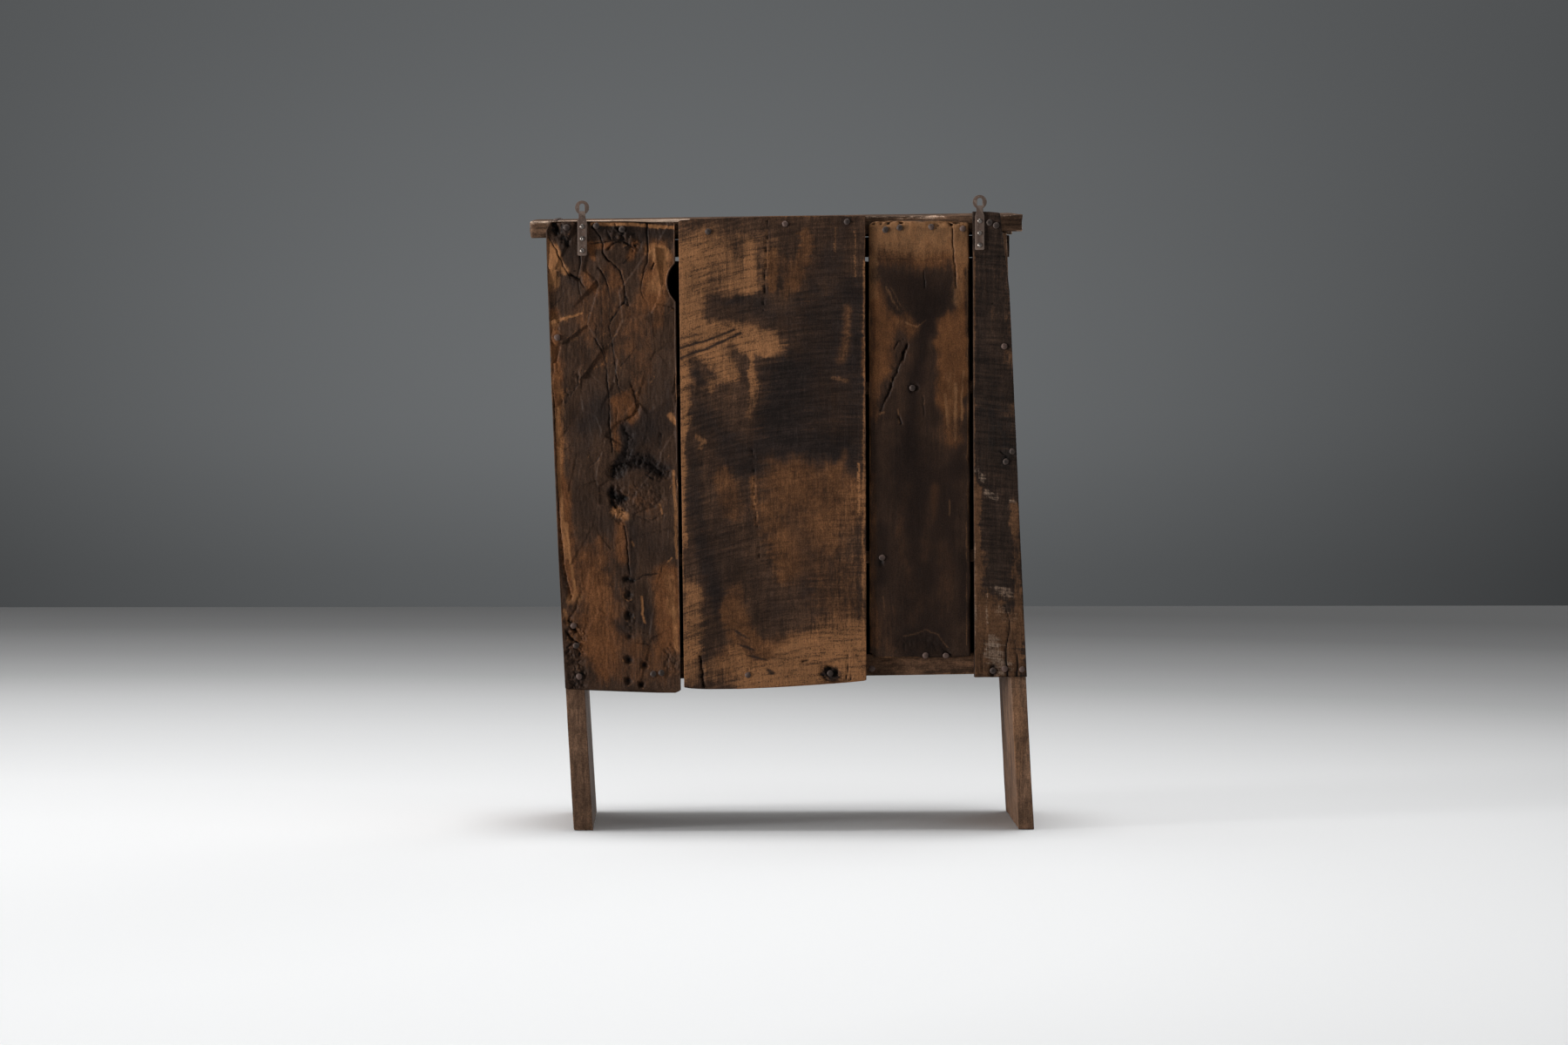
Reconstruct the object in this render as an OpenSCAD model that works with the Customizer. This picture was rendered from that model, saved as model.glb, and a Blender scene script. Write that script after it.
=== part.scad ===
// Small plank cupboard on slab sides, with two ledged doors, a nailed plank back and hanging plates.
// The carcass is racked: both side boards lean and bow the same way, and the boards slope with them.
// +X is the right-hand side seen from the doors, +Y is the plank back and +Z is up.

/* [Side boards] */
// Depth of the side boards, front edge to rear edge
side_d = 340; // [300:1:420]
// Thickness of the right side board
side_right_t = 34; // [28:1:40]
// Thickness of the left side board
side_left_t = 28; // [24:1:36]
// Lean of the right side board from upright, in degrees
right_lean = 2.5; // [0:0.1:4]
// Lean of the left side board from upright, in degrees
left_lean = 2.7; // [0:0.1:4]
// Bow of the right side board at mid height
right_bow = 4.6; // [0:0.2:8]
// Bow of the left side board at mid height
left_bow = 2.8; // [0:0.2:8]

/* [Top] */
// Height of the top's underside at mid length of its rear edge
top_z = 1025.5; // [980:0.5:1100]
// Thickness of the top planks
top_t = 32; // [24:1:42]
// Slope of the top down towards its right end, in degrees
top_roll = 0.84; // [0:0.02:1.4]
// Rise of the top towards the front, in degrees
top_pitch = 1.8; // [0:0.1:2.4]
// How far each end of the top passes its side board
top_end_over = 29; // [15:1:50]
// How far the front edge of the top passes the front frame
top_front_over = 34; // [32:1:60]
// Depth of the rear plank of the top
top_rear_w = 188; // [150:1:220]
// Open joint between the two top planks
top_seam = 1.5; // [0.5:0.5:4]

/* [Boards inside] */
// Height of the bottom board's underside at x = 0
bottom_z = 264.5; // [230:0.5:290]
// Thickness of the bottom board
bottom_t = 38; // [28:1:44]
// Height of the lower shelf's underside at x = 0
shelf_lower_z = 458.5; // [430:0.5:520]
// Height of the upper shelf's underside at x = 0
shelf_upper_z = 749.5; // [700:0.5:780]
// Thickness of the shelves
shelf_t = 22; // [18:1:28]
// Slope of the boards down towards the right side, in degrees
board_roll = 0.84; // [0:0.02:1.2]
// Depth of the housings that hold the board ends
housing = 8; // [5:1:12]

/* [Back planks] */
// Width of plank 1 at the top, from the right side's outer face to seam 1
plank_1_w = 225; // [190:1:250]
// Width of plank 2 at the top, seam 1 to seam 2
plank_2_w = 326; // [290:1:340]
// Width of plank 3 at the top, seam 2 to seam 3
plank_3_w = 179; // [150:1:190]
// Width of plank 4 at the top, from seam 3 to the left side's outer face
plank_4_w = 63; // [54:1:80]
// Thickness of plank 1
plank_1_t = 26; // [20:1:32]
// Thickness of plank 2
plank_2_t = 24; // [20:1:32]
// Thickness of plank 3
plank_3_t = 16; // [12:1:24]
// Thickness of plank 4
plank_4_t = 27; // [20:1:32]
// Open seam between two back planks
seam_gap = 4.5; // [2:0.5:8]
// Lap of plank 3's lower end over the bottom board's rear edge
plank_3_lap = 7; // [5:0.5:12]

/* [Front frame] */
// Thickness of the stiles and of the rail
stile_t = 22; // [18:1:28]
// Height of the rail's lower edge
rail_z = 994; // [960:1:1000]
// How far the rail passes the left side board
rail_left_over = 26; // [10:1:28]
// Thickness of the packing strip between rail and top
strip_t = 8; // [4:1:10]
// How far the packing strip passes the rail's left end
strip_over = 5; // [0:0.5:10]
// How far a stile passes its side board's inner face, at mid height
stile_in = 77; // [66:1:100]

/* [Doors] */
// Gap between a door and its stile, and between a door and the frame behind it
door_gap = 2.5; // [1.5:0.1:4]
// Gap between the two doors
meet_gap = 3; // [2:0.1:5]
// Gap between the doors and the rail above them
door_top_gap = 6.5; // [3:0.5:10]
// Height of the doors' lower edge above the bottom board's underside
door_lift = 8; // [3:0.5:14]
// Clearance behind the doors
door_back_gap = 0.5; // [0.3:0.1:1.5]
// Share of a door's width that its hinge-side plank takes
door_plank_share = 0.55; // [0.4:0.01:0.65]
// Open joint between the two planks of a door
door_seam = 1; // [0.5:0.5:3]
// Width of the battens on the doors' inner faces
batten_w = 66; // [60:1:72]
// Thickness of the battens
batten_t = 18; // [14:1:24]
// Inset of a batten from each edge of its door
batten_inset = 26; // [15:1:40]
// Height of the knobs above the bottom board's underside
knob_rise = 370; // [250:1:420]
// Distance of a knob from its door's meeting edge
knob_inset = 34; // [26:1:60]
// Largest radius of a knob
knob_r = 15; // [12:0.5:18]
// Length of a knob in front of the door
knob_l = 28; // [22:1:30]

/* [Strap hinges] */
// Length of the barrel
barrel_l = 45; // [36:1:52]
// Radius of the barrel
barrel_r = 5.5; // [5:0.1:7]
// Radius of the hinge pins
pin_r = 3; // [2.2:0.1:3.4]
// Number of knuckles in a barrel, an odd number
knuckles = 5; // [3:2:7]
// Thickness of the straps and leaves
strap_t = 3; // [2:0.5:4]
// Length of a strap from its barrel's axis
strap_l = 190; // [150:1:220]
// Length of a leaf from its barrel's axis
leaf_l = 58; // [45:1:62]

/* [Turn button] */
// Length of the button from its pivot to its tip
button_l = 64; // [50:1:80]
// Half width of the button at its pivot
button_r = 12; // [10:0.5:13]
// Half width of the button at its tip
button_tip_r = 8; // [6:0.5:9]
// Thickness of the button
button_t = 12; // [8:1:16]
// Radius of the pivot screw
button_pin_r = 3; // [2:0.1:4]
// Clearance behind the button
button_gap = 0.5; // [0.3:0.1:1]

/* [Hanging plates] */
// Thickness of the plates
plate_t = 2; // [1.5:0.5:4]
// Length of a plate
plate_l = 94; // [84:1:110]
// Width of a plate's body
plate_w = 16; // [13:0.5:20]
// Outer radius of a plate's eye
eye_r = 12; // [11:0.5:15]
// Width of the slot in the eye
slot_w = 9; // [6:0.5:12]
// Height of the slot in the eye
slot_h = 13; // [10:0.5:16]
// Height of a plate's top over the cupboard's top
plate_rise = 32; // [28:1:40]
// Distance of the right plate from the right side's outer face
plate_right_in = 63; // [40:1:90]
// Distance of the left plate from the left side's outer face
plate_left_in = 49; // [35:1:52]
// Pitch of the screw holes in a plate
screw_pitch = 20.6; // [18:0.2:24]

/* [Nails and screws] */
// Radius of a nail's head
head_r = 5.5; // [4:0.1:6]
// Height of a nail's head
head_h = 2.4; // [1.5:0.1:3]
// Radius of a nail's shank
nail_r = 2; // [1.4:0.1:2.4]
// How far a nail reaches into the second board
nail_bite = 32; // [20:1:36]
// Radius of a hinge nail's head
small_head_r = 4; // [3:0.1:4.5]
// Radius of a plate screw's head
screw_head_r = 4; // [3:0.1:4.5]
// Clearance of a shank in its hole, and of a board end in its housing
fit = 0.1; // [0.05:0.05:0.3]
// Running clearance of a pin in what turns on it
run_fit = 0.05; // [0.02:0.01:0.1]

/* [Hidden] */
$fn = 32;

// Material tones
dark_oak = "#3f2a1c";
warm_oak = "#6b4528";
worn_oak = "#86603c";
grey_oak = "#5a4838";
forged_iron = "#3a3330";
worn_steel = "#7a6f66";

// Side lines: the outer faces as heights and offsets, sampled along the bow
side_steps = 12;
back_w = plank_1_w + plank_2_w + plank_3_w + plank_4_w;
side_h = top_z + side_d * tan(top_pitch) + back_w * tan(top_roll) + 2 * top_t;
function bow_part(bow, z) = 4 * bow * (z / side_h) * (1 - z / side_h);
function side_line(x0, lean, bow) = [
    for (i = [0:side_steps])
        let (z = i * side_h / side_steps)
        [z, x0 + tan(lean) * z + bow_part(bow, z)]
];

// Width over the two feet, from the width of the back at the top and the leans of the sides
function lean_x(lean, bow) = tan(lean) * top_z + bow_part(bow, top_z);
foot_w = back_w + lean_x(left_lean, left_bow) - lean_x(right_lean, right_bow);

// Shift that centres the whole cupboard on x = 0
right_end_raw = foot_w / 2 + lean_x(right_lean, right_bow) + top_end_over;
left_end_raw = -foot_w / 2 + lean_x(left_lean, left_bow) - top_end_over;
x_shift = -(max(right_end_raw, foot_w / 2) + min(left_end_raw, -foot_w / 2)) / 2;
right_line = side_line(x_shift + foot_w / 2, right_lean, right_bow);
left_line = side_line(x_shift - foot_w / 2, left_lean, left_bow);
function right_out(z) = lookup(z, right_line);
function right_in(z) = right_out(z) - side_right_t;
function left_out(z) = lookup(z, left_line);
function left_in(z) = left_out(z) + side_left_t;

// Depth layout: the rear and front planes of the side boards, centred over the whole depth
screw_head_h = 2.4;
thickest_plank = max(plank_1_t, plank_2_t, plank_3_t, plank_4_t);
rear_reach = thickest_plank + plate_t + screw_head_h;
rear_y = (side_d + stile_t + top_front_over - rear_reach) / 2;
front_y = rear_y - side_d;
face_y = front_y - stile_t;

// Top: its end planes and the line of its underside along the rear edge
top_right_x = right_out(top_z) + top_end_over;
top_left_x = left_out(top_z) - top_end_over;
top_mid_x = (top_right_x + top_left_x) / 2;
function top_line(x) = top_z - tan(top_roll) * (x - top_mid_x);
function top_under(x, y) = top_line(x) + tan(top_pitch) / cos(top_roll) * (rear_y - y);

// Boards: underside of a board at x, from its height at x = 0
function board_line(z0, x) = z0 - tan(board_roll) * x;

// Seams: lines between the back planks, with their own small leans
seam_leans = [0.69, 0.16, 0.29];
seam_tops = [
    right_out(top_z) - plank_1_w,
    right_out(top_z) - plank_1_w - plank_2_w,
    right_out(top_z) - plank_1_w - plank_2_w - plank_3_w
];
// Edge 0 is the right side's outer face, edges 1 to 3 are the seams, edge 4 is the left side's
function edge_x(i, z) =
    i == 0 ? right_out(z) :
    i == 4 ? left_out(z) + wane(z) :
    seam_tops[i - 1] - tan(seam_leans[i - 1]) * (top_z - z);
function half_gap(i) = i == 0 || i == 4 ? 0 : seam_gap / 2;
function plank_right(p, z) = edge_x(p - 1, z) - half_gap(p - 1);
function plank_left(p, z) = edge_x(p, z) + half_gap(p);
function plank_x(p, share, z) = plank_right(p, z) + share * (plank_left(p, z) - plank_right(p, z));

// Waney top corner of plank 4: it narrows over its last stretch
wane_l = 130;
wane_depth = 12;
function wane(z) = wane_depth * min(1, max(0, (z - (top_z + top_t - wane_l)) / wane_l));

// Plank ends as [share of the width from the right edge, height]; tops count from the top's upper
// face, lower ends from the underside of the bottom board
plank_ends = [
    [[[0.055, -3], [0.4, -2], [1, -8]], [[0, -13], [0.94, -23], [1, -18]]],
    [[[0, -3], [0.35, -0.5], [0.6, 1.5], [1, 0.5]],
     [[0, -13], [0.08, -17], [0.2, -18], [0.55, -15], [0.85, -10], [1, -6.5]]],
    [[[0, -10], [0.45, -8], [0.8, -12], [1, -14]], [[0, bottom_t - plank_3_lap], [1, bottom_t - plank_3_lap]]],
    [[[0, 5], [0.6, 3], [1, 1]], [[0, -4.5], [1, -4]]]
];
plank_ts = [plank_1_t, plank_2_t, plank_3_t, plank_4_t];
function high_z(p, share) = let (x = plank_x(p, share, top_z)) top_line(x) + top_t;
function low_z(p, share) = let (x = plank_x(p, share, bottom_z)) board_line(bottom_z, x);
// Shoulder of plank 1: its outer corner is split off below the top
shoulder_l = 20;
shoulder_in = 9;
// Lost knot at plank 1's seam, as a circle that bites into the edge
knot_r = 46;
knot_bite = 14;
knot_drop = 80;

// Distances of the top nails of planks 1 and 4 from the centre lines of the hanging plates
right_nail_out = 27;
right_nail_in = 24;
right_nail_far = 68;
left_nail_out = 17;
left_nail_far = 28.5;

// Share of plank 1's or plank 4's width that lies a distance in from the side's outer face
function right_share(d) = (plank_right(1, top_z) - right_out(top_z) + d) / (plank_right(1, top_z) - plank_left(1, top_z));
function left_share(d) = (plank_right(4, top_z) - left_out(top_z) - d) / (plank_right(4, top_z) - plank_left(4, top_z));

// Nails of the back: top row and bottom row as [share of the plank's width, share of the board's
// thickness], and edge rows as [share of the height, share of the side's thickness from outside].
// The top nails of the outer planks stand beside the hanging plates.
top_nails = [
    [[right_share(plate_right_in - right_nail_out), 0.58], [right_share(plate_right_in + right_nail_in), 0.65],
     [right_share(plate_right_in + right_nail_far), 0.44]],
    [[0.16, 0.25], [0.57, 0.6], [0.9, 0.68]],
    [[0.17, 0.22], [0.31, 0.32], [0.62, 0.34], [0.93, 0.22]],
    [[left_share(plate_left_in - left_nail_out), 0.52], [left_share(plate_left_in - left_nail_far), 0.36]]
];
bottom_nails = [
    [[0.76, 0.3], [0.83, 0.34]],
    [[0.35, 0.18], [0.8, 0.2]],
    [[0.55, 0.92], [0.75, 0.9]],
    [[0.35, 0.2], [0.57, 0.28]]
];
right_edge_nails = [[0.77, 0.42], [0.12, 0.6], [0.075, 0.68], [0.005, 0.75]];
left_edge_nails = [[0.75, 0.5], [0.513, 0.28], [0.49, 0.7], [0.02, 0.3]];
// Nails of plank 3 into the shelves, as shares of its width
upper_shelf_nail = 0.43;
lower_shelf_nail = 0.13;
// Nail in the bottom board's bare rear edge, as a share of plank 3's width
bare_edge_nail = 0.03;
inner_h = top_z - bottom_z;

// Height of the rail's nails over its lower edge
rail_nail_rise = 14;

// Front opening, between two upright stile edges
mid_z = (bottom_z + top_z) / 2;
open_mid = (right_in(mid_z) + left_in(mid_z)) / 2;
open_right = right_in(mid_z) - stile_in;
open_left = left_in(mid_z) + stile_in;
open_w = open_right - open_left;
rail_right_x = right_out(rail_z);
rail_left_x = left_out(rail_z) - rail_left_over;

// Doors: their size and the heights of their hinges, midway in the lowest and highest compartments
door_w = (open_w - 2 * door_gap - meet_gap) / 2;
door_t = stile_t - door_back_gap;
door_low = bottom_z + door_lift;
door_high = rail_z - door_top_gap;
hinge_low = (bottom_z + bottom_t + shelf_lower_z) / 2;
hinge_high = (shelf_upper_z + shelf_t + rail_z) / 2;
hinge_zs = [hinge_low, hinge_high];
barrel_clear = 0.3;
barrel_y = face_y - barrel_r - barrel_clear;
right_axis = [open_right - door_gap / 2, barrel_y];
left_axis = [open_left + door_gap / 2, barrel_y];
knuckle_gap = 0.3;
knuckle_l = (barrel_l - (knuckles - 1) * knuckle_gap) / knuckles;
plate_clear = 1;
strap_root = barrel_r + plate_clear;
strap_tip_r = 11;
strap_shoulder = 14;
strap_flare = 34;
strap_neck_r = 6.5;
strap_point = 9;
strap_nails = [0.16, 0.42, 0.68, 0.942];
leaf_nails = [[0.4, 0.3], [0.4, -0.3], [0.8, 0]];
door_nail_rise = batten_w / 2 - head_r - 2;
edge_nail_share = 0.3;
seam_nail_in = 22;

// Turn button: its pivot on the rail, over the meeting edges of the doors
button_rise = 4;
button_z = rail_z + button_r + button_rise;

// Hanging plates: the eye's centre lines and the screws' heights below the eye
plate_right_x = right_out(top_z) - plate_right_in;
plate_left_x = left_out(top_z) + plate_left_in;
function plate_top(x) = top_line(x) + top_t + plate_rise;
first_screw = 44.5;
plate_edge = 1.6;
screw_l = 20;
screw_r = 1.9;

// Upright slab between two lists of points in the x-z plane, from y0 to y1
module upright(y0, y1) {
    translate([0, y1, 0])
        rotate([90, 0, 0])
            linear_extrude(height = y1 - y0)
                children();
}

// Forged nail along -Z with its head's seat at z = 0
module nail(len, r = head_r, h = head_h) {
    point = 5;
    rim = h / 3;
    rotate_extrude()
        polygon([
            [0, -len], [nail_r * 0.3, -len], [nail_r, point - len], [nail_r, 0],
            [r, 0], [r, rim], [r * 0.5, h], [0, h]
        ]);
}

// Hole for a nail's shank, open above the seat
module nail_hole(len) {
    over = 1;
    translate([0, 0, -len - fit])
        cylinder(h = len + fit + over, r = nail_r + fit);
}

// Turns a nail so that it is driven from the back towards the front
module from_back(x, y, z) {
    translate([x, y, z])
        rotate([-90, 0, 0])
            children();
}

// Turns a nail so that it is driven from the front towards the back
module from_front(x, y, z) {
    translate([x, y, z])
        rotate([90, 0, 0])
            children();
}

// Either the nail or its hole
module nail_or_hole(hole, len, r = head_r) {
    if (hole)
        nail_hole(len);
    else
        nail(len, r);
}

// Frame of the top: x along it, y to the back, z out of it, zero on its underside's rear edge
module on_top() {
    translate([top_mid_x, rear_y, top_z])
        rotate([-top_pitch, top_roll, 0])
            children();
}

// Everything above a plane parallel to the top's underside, at height dz over it
module above_top(dz) {
    reach = 2 * foot_w;
    on_top()
        translate([-reach, -reach, dz])
            cube([2 * reach, 2 * reach, reach]);
}

// Slab parallel to the top, from height low to height high over its underside
module top_slab(low, high) {
    reach = 2 * foot_w;
    on_top()
        translate([-reach, -reach, low])
            cube([2 * reach, 2 * reach, high - low]);
}

// Side boards
module side_outline(line, t) {
    inner = [for (i = [side_steps:-1:0]) [line[i][1] + t, line[i][0]]];
    polygon(concat([for (p = line) [p[1], p[0]]], inner));
}

module side_board(line, t) {
    difference() {
        upright(front_y, rear_y)
            side_outline(line, t);
        above_top(0);
        board(bottom_z, bottom_t, fit);
        board(shelf_lower_z, shelf_t, fit);
        board(shelf_upper_z, shelf_t, fit);
        nails_in_top(true);
    }
}

module side_right() {
    color(grey_oak)
        difference() {
            side_board(right_line, -side_right_t);
            edge_nails(right_edge_nails, true, true);
            side_nails(true, true);
            frame_nails(true, true);
        }
}

module side_left() {
    color(grey_oak)
        difference() {
            side_board(left_line, side_left_t);
            edge_nails(left_edge_nails, false, true);
            side_nails(false, true);
            frame_nails(false, true);
        }
}

// Boards inside, with ends shaped to the side boards; grow is the clearance of a housing
module inside_outline(reach) {
    right_pts = [for (p = right_line) [p[1] - side_right_t + reach, p[0]]];
    left_pts = [for (i = [side_steps:-1:0]) [left_line[i][1] + side_left_t - reach, left_line[i][0]]];
    polygon(concat(right_pts, left_pts));
}

module board(z0, t, grow = 0) {
    intersection() {
        translate([0, 0, z0])
            rotate([0, board_roll, 0])
                translate([-foot_w, front_y - grow, -grow])
                    cube([2 * foot_w, side_d + 2 * grow, t + 2 * grow]);
        upright(front_y - 2 * grow, rear_y + 2 * grow)
            inside_outline(housing + grow);
    }
}

module bottom_board() {
    color(warm_oak)
        difference() {
            board(bottom_z, bottom_t);
            for (p = [1:4])
                bottom_row(p, true);
            bare_nail(true);
            edge_nails(right_edge_nails, true, true);
            edge_nails(left_edge_nails, false, true);
            side_nails(true, true);
            side_nails(false, true);
        }
}

module shelf_lower() {
    color(grey_oak)
        difference() {
            board(shelf_lower_z, shelf_t);
            shelf_nail(shelf_lower_z, lower_shelf_nail, true);
            side_nails(true, true);
            side_nails(false, true);
        }
}

module shelf_upper() {
    color(grey_oak)
        difference() {
            board(shelf_upper_z, shelf_t);
            shelf_nail(shelf_upper_z, upper_shelf_nail, true);
            side_nails(true, true);
            side_nails(false, true);
        }
}

// Top, in two planks
module top_plank(y0, y1) {
    intersection() {
        top_slab(0, top_t);
        translate([top_left_x, y0, 0])
            cube([top_right_x - top_left_x, y1 - y0, 2 * top_z]);
    }
}

module top_rear_plank() {
    color(warm_oak)
        difference() {
            top_plank(rear_y - top_rear_w, rear_y);
            for (p = [1:4])
                top_row(p, true);
            nails_in_top(true);
        }
}

module top_front_plank() {
    color(worn_oak)
        difference() {
            top_plank(face_y - top_front_over, rear_y - top_rear_w - top_seam);
            nails_in_top(true);
        }
}

// Nails through the top into the upper ends of the sides
module nails_in_top(hole) {
    extra_bite = 10;
    len = top_t + nail_bite + extra_bite;
    front_w = side_d - top_rear_w;
    depths = [0.33 * top_rear_w, 0.76 * top_rear_w, top_rear_w + 0.15 * front_w, top_rear_w + 0.6 * front_w];
    for (d = depths, x = [(right_out(top_z) + right_in(top_z)) / 2, (left_out(top_z) + left_in(top_z)) / 2])
        on_top()
            translate([(x - top_mid_x) / cos(top_roll), -d, top_t])
                nail_or_hole(hole, len);
}

module nails_top() {
    color(forged_iron)
        nails_in_top(false);
}

// Back planks
module plank_outline(p) {
    tops = plank_ends[p - 1][0];
    lows = plank_ends[p - 1][1];
    steps = p == 1 || p == 4 ? side_steps : 1;
    z_right = [low_z(p, 0) + lows[0][1], high_z(p, 0) + tops[0][1]];
    z_left = [low_z(p, 1) + lows[len(lows) - 1][1], high_z(p, 1) + tops[len(tops) - 1][1]];
    function between(zs, s) = zs[0] + (zs[1] - zs[0]) * s;
    right_up = [for (i = [0:steps]) let (z = between(z_right, i / steps)) [plank_right(p, z), z]];
    left_down = [for (i = [steps:-1:0]) let (z = between(z_left, i / steps)) [plank_left(p, z), z]];
    across_top = [
        for (e = tops)
            if (e[0] > 0 && e[0] < 1)
                [plank_x(p, e[0], top_z), high_z(p, e[0]) + e[1]]
    ];
    across_low = [
        for (i = [len(lows) - 1:-1:0])
            if (lows[i][0] > 0 && lows[i][0] < 1)
                [plank_x(p, lows[i][0], bottom_z), low_z(p, lows[i][0]) + lows[i][1]]
    ];
    polygon(concat(right_up, across_top, left_down, across_low));
}

// Circle that bites a plank's edge by bite, centred outside it at (x, z); way is +1 or -1
module edge_bite(x, z, r, bite, way) {
    translate([x + way * (r - bite), z])
        circle(r = r, $fn = 64);
}

module plank_1_outline() {
    difference() {
        plank_outline(1);
        edge_bite(plank_left(1, top_z - knot_drop), top_z - knot_drop, knot_r, knot_bite, -1);
        polygon([
            [right_out(top_z) + 1, high_z(1, 0) - shoulder_l],
            [right_out(top_z) + 1, high_z(1, 0) + 1],
            [right_out(top_z) - shoulder_in, high_z(1, 0) + 1]
        ]);
    }
}

// Rounding of a plank's upper right corner
module corner_round(x, z, r) {
    difference() {
        translate([x - r, z - r])
            square([2 * r, 2 * r]);
        translate([x - r, z - r])
            circle(r = r, $fn = 48);
    }
}

module plank_3_outline() {
    corner_r = 12;
    nick_r = 5;
    hole_r = 7;
    hole_rise = 3;
    nick_shares = [0.315, 0.81];
    difference() {
        plank_outline(3);
        corner_round(plank_right(3, top_z), high_z(3, 0) + plank_ends[2][0][0][1], corner_r);
        for (s = nick_shares)
            translate([plank_x(3, s, top_z), high_z(3, s) + lookup(s, plank_ends[2][0])])
                circle(r = nick_r);
        translate([plank_right(3, bottom_z), low_z(3, 0) + bottom_t - plank_3_lap + hole_rise])
            circle(r = hole_r);
    }
}

module back_plank(p) {
    upright(rear_y, rear_y + plank_ts[p - 1])
        if (p == 1)
            plank_1_outline();
        else if (p == 3)
            plank_3_outline();
        else
            plank_outline(p);
}

module back_plank_1() {
    color(dark_oak)
        difference() {
            back_plank(1);
            top_row(1, true);
            bottom_row(1, true);
            edge_nails(right_edge_nails, true, true);
            plate_screw_set(plate_right_x, plank_1_t, true);
        }
}

module back_plank_2() {
    color(warm_oak)
        difference() {
            back_plank(2);
            top_row(2, true);
            bottom_row(2, true);
        }
}

module back_plank_3() {
    color(warm_oak)
        difference() {
            back_plank(3);
            top_row(3, true);
            bottom_row(3, true);
            shelf_nail(shelf_lower_z, lower_shelf_nail, true);
            shelf_nail(shelf_upper_z, upper_shelf_nail, true);
        }
}

module back_plank_4() {
    color(dark_oak)
        difference() {
            back_plank(4);
            top_row(4, true);
            bottom_row(4, true);
            edge_nails(left_edge_nails, false, true);
            plate_screw_set(plate_left_x, plank_4_t, true);
        }
}

// Nails of one back plank into the top's rear edge
module top_row(p, hole) {
    t = plank_ts[p - 1];
    for (n = top_nails[p - 1]) {
        x = plank_x(p, n[0], top_z);
        from_back(x, rear_y + t, top_line(x) + n[1] * top_t)
            nail_or_hole(hole, t + nail_bite);
    }
}

// Nails of one back plank into the bottom board's rear edge
module bottom_row(p, hole) {
    t = plank_ts[p - 1];
    for (n = bottom_nails[p - 1]) {
        x = plank_x(p, n[0], bottom_z);
        from_back(x, rear_y + t, board_line(bottom_z, x) + n[1] * bottom_t)
            nail_or_hole(hole, t + nail_bite);
    }
}

// Nails of an outer back plank into its side board's rear edge
module edge_nails(list, right, hole) {
    t = right ? plank_1_t : plank_4_t;
    for (n = list) {
        z = bottom_z + n[0] * inner_h;
        x = right ? right_out(z) - n[1] * side_right_t : left_out(z) + n[1] * side_left_t;
        from_back(x, rear_y + t, z)
            nail_or_hole(hole, t + nail_bite);
    }
}

// Nail of plank 3 into a shelf's rear edge
module shelf_nail(z0, share, hole) {
    x = plank_x(3, share, z0);
    from_back(x, rear_y + plank_3_t, board_line(z0, x) + shelf_t / 2)
        nail_or_hole(hole, plank_3_t + nail_bite);
}

// Nail in the bottom board's bare rear edge, under plank 3
module bare_nail(hole) {
    x = plank_x(3, bare_edge_nail, bottom_z);
    from_back(x, rear_y, board_line(bottom_z, x) + bottom_t / 3)
        nail_or_hole(hole, nail_bite);
}

module nails_back_1() {
    color(forged_iron) {
        top_row(1, false);
        bottom_row(1, false);
        edge_nails(right_edge_nails, true, false);
    }
}

module nails_back_2() {
    color(forged_iron) {
        top_row(2, false);
        bottom_row(2, false);
    }
}

module nails_back_3() {
    color(forged_iron) {
        top_row(3, false);
        bottom_row(3, false);
        shelf_nail(shelf_lower_z, lower_shelf_nail, false);
        shelf_nail(shelf_upper_z, upper_shelf_nail, false);
        bare_nail(false);
    }
}

module nails_back_4() {
    color(forged_iron) {
        top_row(4, false);
        bottom_row(4, false);
        edge_nails(left_edge_nails, false, false);
    }
}

// Nails through a side board into the ends of the boards it houses
function seg(z) = min(side_steps - 1, floor(z / side_h * side_steps));
function slope(line, z) = let (i = seg(z)) atan2(line[i + 1][1] - line[i][1], line[i + 1][0] - line[i][0]);

module side_nails(right, hole) {
    line = right ? right_line : left_line;
    t = right ? side_right_t : side_left_t;
    turn = right ? 90 : -90;
    levels = [[bottom_z, bottom_t], [shelf_lower_z, shelf_t], [shelf_upper_z, shelf_t]];
    for (v = levels, d = [0.24, 0.76]) {
        z = board_line(v[0], lookup(v[0], line)) + v[1] / 2;
        translate([lookup(z, line), front_y + d * side_d, z])
            rotate([0, turn + slope(line, z), 0])
                nail_or_hole(hole, t + nail_bite);
    }
}

module nails_side_right() {
    color(forged_iron)
        side_nails(true, false);
}

module nails_side_left() {
    color(forged_iron)
        side_nails(false, false);
}

// Front frame
module stile_right() {
    color(worn_oak)
        difference() {
            upright(face_y, front_y)
                stile_outline(right_line, open_right);
            frame_nails(true, true);
            leaf_nail_set(right_axis, 1, true);
        }
}

module stile_left() {
    color(worn_oak)
        difference() {
            upright(face_y, front_y)
                stile_outline(left_line, open_left);
            frame_nails(false, true);
            leaf_nail_set(left_axis, -1, true);
        }
}

// Stile between its side's outer face and the opening's straight edge
module stile_outline(line, edge) {
    intersection() {
        polygon(concat([for (p = line) [p[1], p[0]]], [[edge, side_h], [edge, 0]]));
        translate([-foot_w, bottom_z])
            square([2 * foot_w, rail_z - bottom_z]);
    }
}

module front_rail() {
    color(warm_oak)
        difference() {
            translate([rail_left_x, face_y, rail_z])
                cube([rail_right_x - rail_left_x, stile_t, top_z]);
            above_top(-strip_t);
            rail_nails(true);
            translate([open_mid, face_y, button_z])
                rotate([90, 0, 0])
                    button_pin_hole();
        }
}

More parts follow.
